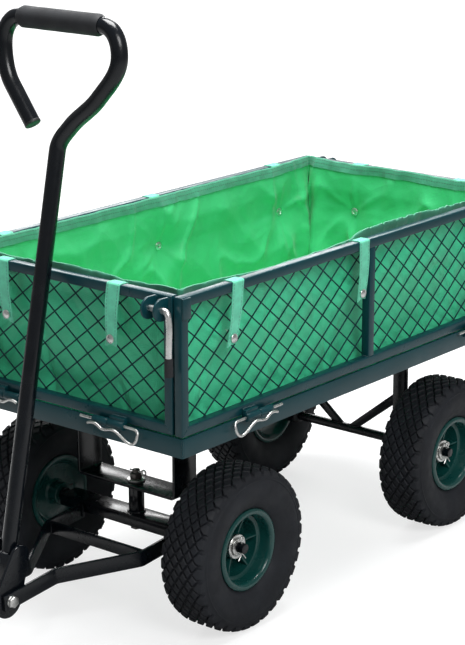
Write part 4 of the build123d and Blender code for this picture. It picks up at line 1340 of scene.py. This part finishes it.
def make_latch(corner):
    """One latch: a rod through both ears, turned down into a lever with a rubber grip."""
    end, side = corner.split("_")
    place = SIDES[end][0]
    hand = 1 if (end == "front") == (side == "right") else -1
    out = 231.0
    foot = in_bed(f"latch_{corner}")[0].z
    knots = (
        ((hand * 186, LATCH_OUT, LATCH_Z), (hand, 0, 0), 0, 12),
        ((hand * (out - 9), LATCH_OUT, LATCH_Z), (hand, 0, 0), 12, 5),
        ((hand * out, LATCH_OUT, LATCH_Z - 9), (hand * 0.1, 0, -1), 5, 12),
        ((hand * (out + 1.6), LATCH_OUT + 0.6, LATCH_Z - 36), (-hand * 0.05, 0, -1), 10, 12),
        ((hand * out, LATCH_OUT, foot + 22), (0, 0, -1), 14, 5),
        ((hand * out, LATCH_OUT, foot + 6), (0, 0, -1), 5, 0),
    )
    bar = bmesh.new()
    bent_bar(bar, knots, 4.75, 6, 12)
    finished(f"latch_rod_{corner}", bar, "zinc", f"lever_{corner}", [f"latch_{corner}"], place)
    grip = bmesh.new()
    rod(
        grip,
        (hand * out, LATCH_OUT, foot + 28),
        (hand * out, LATCH_OUT, foot),
        6.1,
        6.5,
        sides=32,
        chamfer=1.6,
    )
    return finished(f"latch_grip_{corner}", grip, "foam", f"lever_{corner}", (), place)


# --- Fabric tub ----------------------------------------------------------------------------------

TUB_LOW, TUB_HIGH = in_bed("tub")
TUB_LONG = TUB_HIGH.x - 0.6
TUB_WIDE = TUB_HIGH.y - 0.6
TUB_FLOOR = TUB_LOW.z + 0.4
TUB_CORNER = 7.0
STRAIGHT_X = 2 * (TUB_LONG - TUB_CORNER)
STRAIGHT_Y = 2 * (TUB_WIDE - TUB_CORNER)
ROUND = QUARTER * TUB_CORNER
GIRTH = 2 * (STRAIGHT_X + STRAIGHT_Y) + 4 * ROUND


def round_tub(s):
    """The tub's plan at a distance round it: the point, the way out and the distance from a corner."""
    s %= GIRTH
    half_x, half_y = TUB_LONG - TUB_CORNER, TUB_WIDE - TUB_CORNER
    walls = (
        ((half_x, -half_y), (0, 1), (1, 0), STRAIGHT_Y),
        ((half_x, half_y), (-1, 0), (0, 1), STRAIGHT_X),
        ((-half_x, half_y), (0, -1), (-1, 0), STRAIGHT_Y),
        ((-half_x, -half_y), (1, 0), (0, -1), STRAIGHT_X),
    )
    for (x, y), way, out, long in walls:
        way, out = Vector(way), Vector(out)
        start = Vector((x, y))
        if s <= long:
            return start + way * s + out * TUB_CORNER, out, min(s, long - s) + ROUND / 2
        s -= long
        if s <= ROUND:
            angle = s / TUB_CORNER
            out = out * math.cos(angle) + way * math.sin(angle)
            return start + way * long + out * TUB_CORNER, out, abs(s - ROUND / 2)
        s -= ROUND
    return start + way * long + out * TUB_CORNER, out, 0.0


def strap_places():
    """Where the straps pull on the tub, as distances round it."""
    half_x, half_y = TUB_LONG - TUB_CORNER, TUB_WIDE - TUB_CORNER
    starts = {
        "front": lambda middle: half_y - middle,
        "left": lambda middle: STRAIGHT_Y + ROUND + half_x - middle,
        "rear": lambda middle: STRAIGHT_Y + STRAIGHT_X + 2 * ROUND + half_y - middle,
        "right": lambda middle: 2 * STRAIGHT_Y + STRAIGHT_X + 3 * ROUND + half_x - middle,
    }
    return [
        (starts[name](middle), (name, number))
        for name in starts
        for number, middle in enumerate(SIDES[name][3])
    ]


STRAPS_ROUND = strap_places()


def gap(first, second):
    """The signed distance round the tub from second to first."""
    return (first - second + GIRTH / 2) % GIRTH - GIRTH / 2


# Rise and skew of the hem's bow past each strap, in the order round the tub.
HEM_RISE = {
    ("front", 1): (6.0, 0.3),
    ("front", 0): (3.5, 0.0),
    ("left", 0): (-5.5, 0.0),
    ("left", 1): (10.0, -0.6),
    ("left", 2): (4.0, 0.0),
    ("rear", 1): (3.0, 0.0),
    ("rear", 0): (3.5, 0.0),
    ("right", 0): (0.5, 0.0),
    ("right", 1): (-1.0, 0.0),
    ("right", 2): (1.0, 0.0),
}


def hem_height(s):
    """Height of the tub's top edge: level with the rail at each strap, bowed up or down between."""
    order = sorted(STRAPS_ROUND, key=lambda strap: (s - strap[0]) % GIRTH)
    before, after = order[0], order[-1]
    span = (after[0] - before[0]) % GIRTH
    share = ((s - before[0]) % GIRTH) / span
    rise, skew = HEM_RISE[before[1]]
    bow = math.sin(math.pi * share ** math.exp(skew)) ** 0.8 if 0 < share < 1 else 0.0
    turn = 2 * math.pi * s / GIRTH
    wander = Vector((math.cos(turn) * 9, math.sin(turn) * 9, 2.0))
    wave = 0.9 * noise.noise(wander) + 0.8 * noise.noise(wander * 2.7)
    wave -= 2.2 * ridge(noise.noise(wander * 2.1 + Vector((3, 1, 0))) * 5, 2) * max(0.0, rise) / 8
    return RAIL_TOP + 0.8 + rise * bow + wave * min(1.0, 4 * min(share, 1 - share) + 0.25)


SNAP_BELOW = 86.0


def ridge(value, sharp):
    """A crest where a noise crosses nought."""
    return max(0.0, 1 - abs(value)) ** sharp


def round_about(s):
    """A point on a circle as long round as the tub, so that noise read from it closes on itself."""
    turn = 2 * math.pi * s / GIRTH
    return Vector((math.cos(turn), math.sin(turn), 0)) * GIRTH / 2 / math.pi


def crumple(spot, cell, slant):
    """Soft facets that meet in creases, nought to about one."""
    near = noise.voronoi(Vector((spot.x + slant * spot.z, spot.y - slant * spot.z, spot.z)) / cell)[0]
    return min(1.0, near[0] ** 2 * 2.4)


def tub_fold(s, below):
    """How far the cloth stands in from the steel mesh, below its top edge, in millimetres."""
    spot = round_about(s)
    spot.z = below
    depth = sizes().fold
    settle = min(1.0, below / 50)
    slow = noise.noise(Vector((spot.x / 130, spot.y / 130, below / 190)))
    crease = ridge(noise.noise(Vector((spot.x / 80 + 3, spot.y / 80, below / 150 + 9))) * 3.2, 3)
    facets = crumple(spot, 150.0, 0.45) + 0.3 * crumple(spot + Vector((40, 9, 5)), 62.0, -0.5)
    slack = depth * (0.5 + 0.8 * slow + 1.1 * facets + 0.8 * crease)
    lower = max(0.0, below - SNAP_BELOW) / (RAIL_TOP - TUB_FLOOR - SNAP_BELOW)
    slack += 11 * lower * (1.3 - lower) * 2 * (0.8 + 0.5 * slow)
    slack *= 1 - 0.85 * max(0.0, 1 - (RAIL_TOP - TUB_FLOOR - below) / 45)
    held = 1.0
    rays = 0.0
    for place, _ in STRAPS_ROUND:
        side = gap(s, place)
        down = below - SNAP_BELOW
        reach = math.hypot(side, down)
        if reach < 150:
            angle = math.atan2(side, down)
            held = min(held, 1 - 0.75 * math.exp(-((reach / 34) ** 2)))
            fan = ridge(math.sin(angle * 1.5 + place) * 2.2, 2)
            fan += 0.5 * ridge(math.sin(angle * 2 - place) * 2.4, 2)
            rays += fan * math.exp(-(((reach - 52) / 44) ** 2)) * depth * 0.38
            if down < 0:
                rays += 2.4 * math.exp(-((side / 5) ** 2)) * min(1.0, -down / 20) * settle
    _, _, from_corner = round_tub(s)
    seam = 4.0 * math.exp(-(((from_corner - 9) / 3.2) ** 2))
    seam += 9 * math.exp(-(((from_corner - 30) / 15) ** 2))
    slack *= 1 - 0.8 * math.exp(-((from_corner / 14) ** 2))
    folds = slack * (0.25 + 0.75 * settle) * held + rays * settle + seam * settle
    return max(0.3, folds + 0.4 * noise.noise(spot / 15))


def tub_wall(s, share):
    """A point of the cloth: share runs from the top edge (0) down to the floor (1)."""
    plan, out, _ = round_tub(s)
    top = hem_height(s)
    z = top + (TUB_FLOOR - top) * share
    below = top - z
    inward = tub_fold(s, below)
    near_floor = max(0.0, 1 - (z - TUB_FLOOR) / 8)
    inward += 5 * (1 - math.sqrt(max(0.0, 1 - near_floor**2)))
    return Vector((plan.x - out.x * inward, plan.y - out.y * inward, z)), out


FLOOR_RINGS = 26


def make_tub():
    """The soft tub as one sagging shell: coated inside, woven outside, over the deck."""
    columns = 660
    rows = 56
    shape = bmesh.new()
    uv = shape.loops.layers.uv.new("lay")
    made = bmesh.ops.create_grid(shape, x_segments=columns, y_segments=rows + FLOOR_RINGS, size=0.5)
    spread = {}
    for vert in made["verts"]:
        s = (vert.co.x + 0.5) * GIRTH
        step = round((vert.co.y + 0.5) * (rows + FLOOR_RINGS))
        if step <= rows:
            share = step / rows
            spot, _ = tub_wall(s, share)
            spread[vert] = (s, share * (RAIL_TOP - TUB_FLOOR))
        else:
            keep = 1 - 0.97 * (step - rows) / FLOOR_RINGS
            rim_spot, _ = tub_wall(s, 1.0)
            sink = 1.1 * noise.noise(Vector((rim_spot.x * keep / 60, rim_spot.y * keep / 60, 3)))
            crest = noise.noise(Vector((rim_spot.x * keep / 90, rim_spot.y * keep / 90, 8)))
            ridges = 1.8 * ridge(crest * 3, 4)
            spine = max(TUB_WIDE - TUB_LONG, min(TUB_LONG - TUB_WIDE, rim_spot.x))
            x = spine + (rim_spot.x - spine) * keep
            lift = (1.2 + sink + ridges) * min(1.0, (1 - keep) * 6)
            spot = Vector((x, rim_spot.y * keep, TUB_FLOOR + max(0.0, lift)))
            spread[vert] = (x, spot.y + RAIL_TOP)
        vert.co = spot
    for face in shape.faces:
        values = [spread[loop.vert] for loop in face.loops]
        for loop, value in zip(face.loops, values):
            loop[uv].uv = (value[0] / 1000, value[1] / 1000)
    bmesh.ops.remove_doubles(shape, verts=shape.verts, dist=0.02)
    last_ring = [edge for edge in shape.edges if edge.is_boundary and edge.verts[0].co.z < TUB_FLOOR + 20]
    bmesh.ops.contextual_create(shape, geom=last_ring)
    bmesh.ops.recalc_face_normals(shape, faces=shape.faces)
    floor_face = min(shape.faces, key=lambda face: face.calc_center_median().z)
    if floor_face.normal.z > 0:
        bmesh.ops.reverse_faces(shape, faces=shape.faces)
    shape.normal_update()
    outer = shape.faces[:]
    copied = bmesh.ops.duplicate(shape, geom=shape.verts[:] + shape.edges[:] + outer)
    for vert, twin in copied["vert_map"].items():
        if vert in spread:
            on_floor = vert.co.z < TUB_FLOOR + 6 and abs(vert.normal.z) > 0.9
            twin.co -= (Vector((0, 0, -1)) if on_floor else vert.normal) * sizes().cloth
    inner = [face for face in copied["geom"] if isinstance(face, bmesh.types.BMFace)]
    bmesh.ops.reverse_faces(shape, faces=inner)
    bmesh.ops.bridge_loops(shape, edges=[edge for edge in shape.edges if edge.is_boundary])
    for face in outer:
        face.material_index = 1
    piece = finished("tub", shape, "inside", "tub_body", ["tub"], None, 60.0, "outside", closed=False)
    wide = 2 * (TUB_WIDE + RAIL_TOP - TUB_FLOOR) / 1000
    long = 2 * (TUB_LONG + RAIL_TOP - TUB_FLOOR) / 1000
    return piece, wide, long


def make_hem():
    """The folded and stitched hem round the tub's top edge."""
    columns = 900
    high = sizes().hem
    cross = (
        (-high, 0.95, -1),
        (-high, 2.1, -1),
        (-high * 0.5, 2.35, -1),
        (-2.2, 2.2, -1),
        (0.4, 1.5, -1),
        (1.0, 0.0, 0),
        (0.4, 1.5, 1),
        (-2.2, 2.2, 1),
        (-high * 0.5, 2.35, 1),
        (-high, 2.1, 1),
        (-high, 0.95, 1),
    )
    shape = bmesh.new()
    uv = shape.loops.layers.uv.new("lay")
    made = bmesh.ops.create_grid(shape, x_segments=columns, y_segments=len(cross) - 1, size=0.5)
    spread = {}
    for vert in made["verts"]:
        s = (vert.co.x + 0.5) * GIRTH
        up, proud, face = cross[round((vert.co.y + 0.5) * (len(cross) - 1))]
        top = hem_height(s)
        share = max(0.0, -up) / (top - TUB_FLOOR)
        spot, out = tub_wall(s, share)
        pucker = 0.35 * noise.noise(Vector((s / 4.5, up / 6, face * 3.0)))
        middle = -sizes().cloth / 2
        push = middle - face * (proud + pucker)
        spot += Vector((out.x * push, out.y * push, max(0.0, up)))
        spread[vert] = (s, (up - 1) * (1 if face > 0 else -1))
        vert.co = spot
    for face in shape.faces:
        for loop in face.loops:
            s, across = spread[loop.vert]
            loop[uv].uv = (across / 1000, s / 1000)
    bmesh.ops.remove_doubles(shape, verts=shape.verts, dist=0.02)
    return finished("tub_hem", shape, "hem", "tub_body", (), None, 60.0)


def make_studs():
    """The backs of the rivets that hold the straps, inside the tub."""
    shape = bmesh.new()
    for place, _ in STRAPS_ROUND:
        spot, out = tub_wall(place, SNAP_BELOW / (RAIL_TOP - TUB_FLOOR))
        part = bmesh.new()
        lathe(part, [(0, 0.5), (3.0, 0.6), (3.6, 1.8), (5.2, 1.9), (7.0, 0.8), (7.4, -0.6), (0, -0.6)], 28)
        turn = Vector((0, 1, 0)).rotation_difference(Vector((-out.x, -out.y, 0))).to_matrix().to_4x4()
        lift = Matrix.Translation(spot - Vector((out.x, out.y, 0)) * 2.2)
        bmesh.ops.transform(part, matrix=lift @ turn, verts=part.verts)
        join(shape, part)
    return finished("tub_studs", shape, "zinc", "tub_body", ())


# --- Plain nodes ---------------------------------------------------------------------------------


def dress_nodes():
    """Give the nodes that keep their own shape their finish."""
    plain = {"deck_mesh": "mesh", "deck_bearers": "frame"}
    plain.update({f"inner_tube_{corner}": "butyl" for corner in CORNERS})
    for name, kind in plain.items():
        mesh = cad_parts[name].data
        mesh.materials.clear()
        mesh.materials.append(FINISHES[kind])


# --- Stage ---------------------------------------------------------------------------------------


def stage_finish():
    """A pale floor with a little unevenness, lit from beneath for the camera alone."""
    finish = Finish("stage_floor")
    tone = finish.spread(finish.noise(1.5, 3), 0, 1)
    seen = finish.add("ShaderNodeLightPath").outputs["Is Camera Ray"]
    finish.set(
        Base_Color=finish.tint(tone, (0.35, 0.355, 0.36), (0.38, 0.38, 0.38)),
        Roughness=finish.spread(finish.noise(5, 3), 0.75, 0.9),
        Specular_IOR_Level=0.1,
        Emission_Color=(1, 1, 1, 1),
        Emission_Strength=finish.sum("MULTIPLY", seen, 0.7),
    )
    return finish.material


def soft_light(name, place, aim, size, power):
    """A large soft area light."""
    data = bpy.data.lights.new(name, "AREA")
    data.shape = "RECTANGLE"
    data.size, data.size_y = size
    data.energy = power
    light = bpy.data.objects.new(name, data)
    bpy.context.collection.objects.link(light)
    light.location = place
    light.rotation_euler = (Vector(aim) - Vector(place)).to_track_quat("-Z", "Y").to_euler()
    return light


CAMERA_SPOT = Vector((2619.85, 2081.49, 1336.34))
CAMERA_TURN = math.radians(39.04)
CAMERA_RISE = math.radians(15.87)
CAMERA_LENS = 116.66
SKY = 0.24


def make_camera():
    """The camera, turned about the cart and looking a little down."""
    turn, rise = CAMERA_TURN, CAMERA_RISE
    back_way = Vector((math.cos(rise) * math.cos(turn), math.cos(rise) * math.sin(turn), math.sin(rise)))
    right = Vector((-math.sin(turn), math.cos(turn), 0))
    up = back_way.cross(right)
    data = bpy.data.cameras.new("camera")
    data.sensor_fit = "VERTICAL"
    data.sensor_height = 36.0
    data.lens = CAMERA_LENS
    data.clip_end = 200.0
    camera = bpy.data.objects.new("camera", data)
    bpy.context.collection.objects.link(camera)
    facing = Matrix((right, up, back_way)).transposed().to_4x4()
    camera.matrix_world = Matrix.Translation(TO_FRAME @ CAMERA_SPOT) @ facing
    return camera


def make_stage():
    """The floor, the studio light and the camera."""
    mesh = bpy.data.meshes.new("floor")
    shape = bmesh.new()
    bmesh.ops.create_grid(shape, x_segments=8, y_segments=8, size=60.0)
    shape.to_mesh(mesh)
    shape.free()
    mesh.materials.append(stage_finish())
    floor = bpy.data.objects.new("floor", mesh)
    bpy.context.collection.objects.link(floor)
    lights = [
        soft_light("top_light", (-0.3, -0.3, 4.2), (0, 0, 0), (2.6, 2.2), 320),
        soft_light("key_light", (1.6, 3.2, 3.0), (0, 0, 0.3), (1.8, 1.6), 100),
        soft_light("back_light", (-5.0, -4.6, 3.4), (-3.4, -3.0, 0), (4.5, 3.0), 260),
    ]
    world = bpy.data.worlds.new("studio")
    bpy.context.scene.world = world
    world.use_nodes = True
    back = world.node_tree.nodes["Background"]
    back.inputs["Color"].default_value = (1, 1, 1, 1)
    back.inputs["Strength"].default_value = SKY
    scene = bpy.context.scene
    scene.camera = make_camera()
    scene.view_settings.view_transform = "Standard"


# --- Operators -----------------------------------------------------------------------------------


class CART_OT_finishes(bpy.types.Operator):
    """Make the cart's materials"""

    bl_idname = "garden_cart.finishes"
    bl_label = "Materials"
    bl_options = {"REGISTER", "UNDO"}

    def execute(self, context):
        """Make the materials."""
        FINISHES.update(make_finishes())
        dress_nodes()
        return {"FINISHED"}


class CART_OT_bed(bpy.types.Operator):
    """Make the tray, the front support, the rear legs, the braces and the hinges' tray half"""

    bl_idname = "garden_cart.bed"
    bl_label = "Bed and Legs"
    bl_options = {"REGISTER", "UNDO"}

    def execute(self, context):
        """Make the pieces."""
        make_tray()
        make_front_support()
        make_support_bolts()
        make_kingpin()
        make_rear_legs()
        make_rear_braces()
        make_rear_axle()
        make_washers("rear_axle_washers", REAR_X, "bed")
        make_cotters("rear_axle_cotters", REAR_X, "bed")
        make_tray_knuckles()
        make_clips()
        return {"FINISHED"}


class CART_OT_steering(bpy.types.Operator):
    """Make the steering beam, the yoke and the pull bolt"""

    bl_idname = "garden_cart.steering"
    bl_label = "Steering"
    bl_options = {"REGISTER", "UNDO"}

    def execute(self, context):
        """Make the pieces."""
        make_beam()
        make_sleeve()
        make_yoke_arm("left", 1)
        make_yoke_arm("right", -1)
        make_yoke_brace()
        make_pull_bolt()
        make_washers("front_axle_washers", FRONT_X, "steering")
        make_cotters("front_axle_cotters", FRONT_X, "steering")
        return {"FINISHED"}


class CART_OT_handle(bpy.types.Operator):
    """Make the pull handle"""

    bl_idname = "garden_cart.handle"
    bl_label = "Pull Handle"
    bl_options = {"REGISTER", "UNDO"}

    def execute(self, context):
        """Make the pieces."""
        make_handle_tube()
        make_handle_cap()
        make_grip()
        make_bracket()
        return {"FINISHED"}


class CART_OT_wheels(bpy.types.Operator):
    """Make the four wheels"""

    bl_idname = "garden_cart.wheels"
    bl_label = "Wheels"
    bl_options = {"REGISTER", "UNDO"}

    def execute(self, context):
        """Make the pieces."""
        make_wheels()
        return {"FINISHED"}


class CART_OT_panels(bpy.types.Operator):
    """Make the four mesh sides"""

    bl_idname = "garden_cart.panels"
    bl_label = "Mesh Sides"
    bl_options = {"REGISTER", "UNDO"}

    def execute(self, context):
        """Make the pieces."""
        for name in SIDES:
            make_panel_frame(name)
            make_panel_mesh(name)
        return {"FINISHED"}


class CART_OT_straps(bpy.types.Operator):
    """Make the rail straps and their snaps"""

    bl_idname = "garden_cart.straps"
    bl_label = "Rail Straps"
    bl_options = {"REGISTER", "UNDO"}

    def execute(self, context):
        """Make the pieces."""
        for name in SIDES:
            make_straps(name)
        return {"FINISHED"}


class CART_OT_latches(bpy.types.Operator):
    """Make the four corner latches"""

    bl_idname = "garden_cart.latches"
    bl_label = "Corner Latches"
    bl_options = {"REGISTER", "UNDO"}

    def execute(self, context):
        """Make the pieces."""
        for corner in CORNERS:
            make_latch(corner)
        return {"FINISHED"}


class CART_OT_tub(bpy.types.Operator):
    """Make the fabric tub with its hem and rivets"""

    bl_idname = "garden_cart.tub"
    bl_label = "Fabric Tub"
    bl_options = {"REGISTER", "UNDO"}

    def execute(self, context):
        """Make the pieces."""
        tub, wide, long = make_tub()
        hem, studs = make_hem(), make_studs()
        return {"FINISHED"}


class CART_OT_stage(bpy.types.Operator):
    """Make the floor, the studio light and the camera"""

    bl_idname = "garden_cart.stage"
    bl_label = "Stage"
    bl_options = {"REGISTER", "UNDO"}

    def execute(self, context):
        """Make the pieces."""
        make_stage()
        return {"FINISHED"}


BUILD_ORDER = (
    CART_OT_finishes,
    CART_OT_bed,
    CART_OT_steering,
    CART_OT_handle,
    CART_OT_wheels,
    CART_OT_panels,
    CART_OT_straps,
    CART_OT_latches,
    CART_OT_tub,
    CART_OT_stage,
)


class CART_PT_sidebar(bpy.types.Panel):
    """The cart's sizes, colours and build steps"""

    bl_idname = "CART_PT_sidebar"
    bl_label = "Garden Cart"
    bl_space_type = "VIEW_3D"
    bl_region_type = "UI"
    bl_category = "Garden Cart"

    def draw(self, context):
        for group in (sizes(), colours()):
            box = self.layout.box()
            for key in group.__annotations__:
                box.prop(group, key)
        for operator in BUILD_ORDER:
            self.layout.operator(operator.bl_idname)


CLASSES = (CartSizes, CartColours, *BUILD_ORDER, CART_PT_sidebar)


def register():
    """Register the cart's classes and its settings on the scene."""
    for kind in CLASSES:
        bpy.utils.register_class(kind)
    bpy.types.Scene.garden_cart_sizes = PointerProperty(type=CartSizes)
    bpy.types.Scene.garden_cart_colours = PointerProperty(type=CartColours)


def unregister():
    """Take the cart's settings and classes away again."""
    del bpy.types.Scene.garden_cart_colours
    del bpy.types.Scene.garden_cart_sizes
    for kind in reversed(CLASSES):
        bpy.utils.unregister_class(kind)


def main():
    """Register the classes and build the whole cart."""
    register()
    for operator in BUILD_ORDER:
        getattr(bpy.ops.garden_cart, operator.bl_idname.split(".")[1])()


if __name__ == "__main__":
    main()
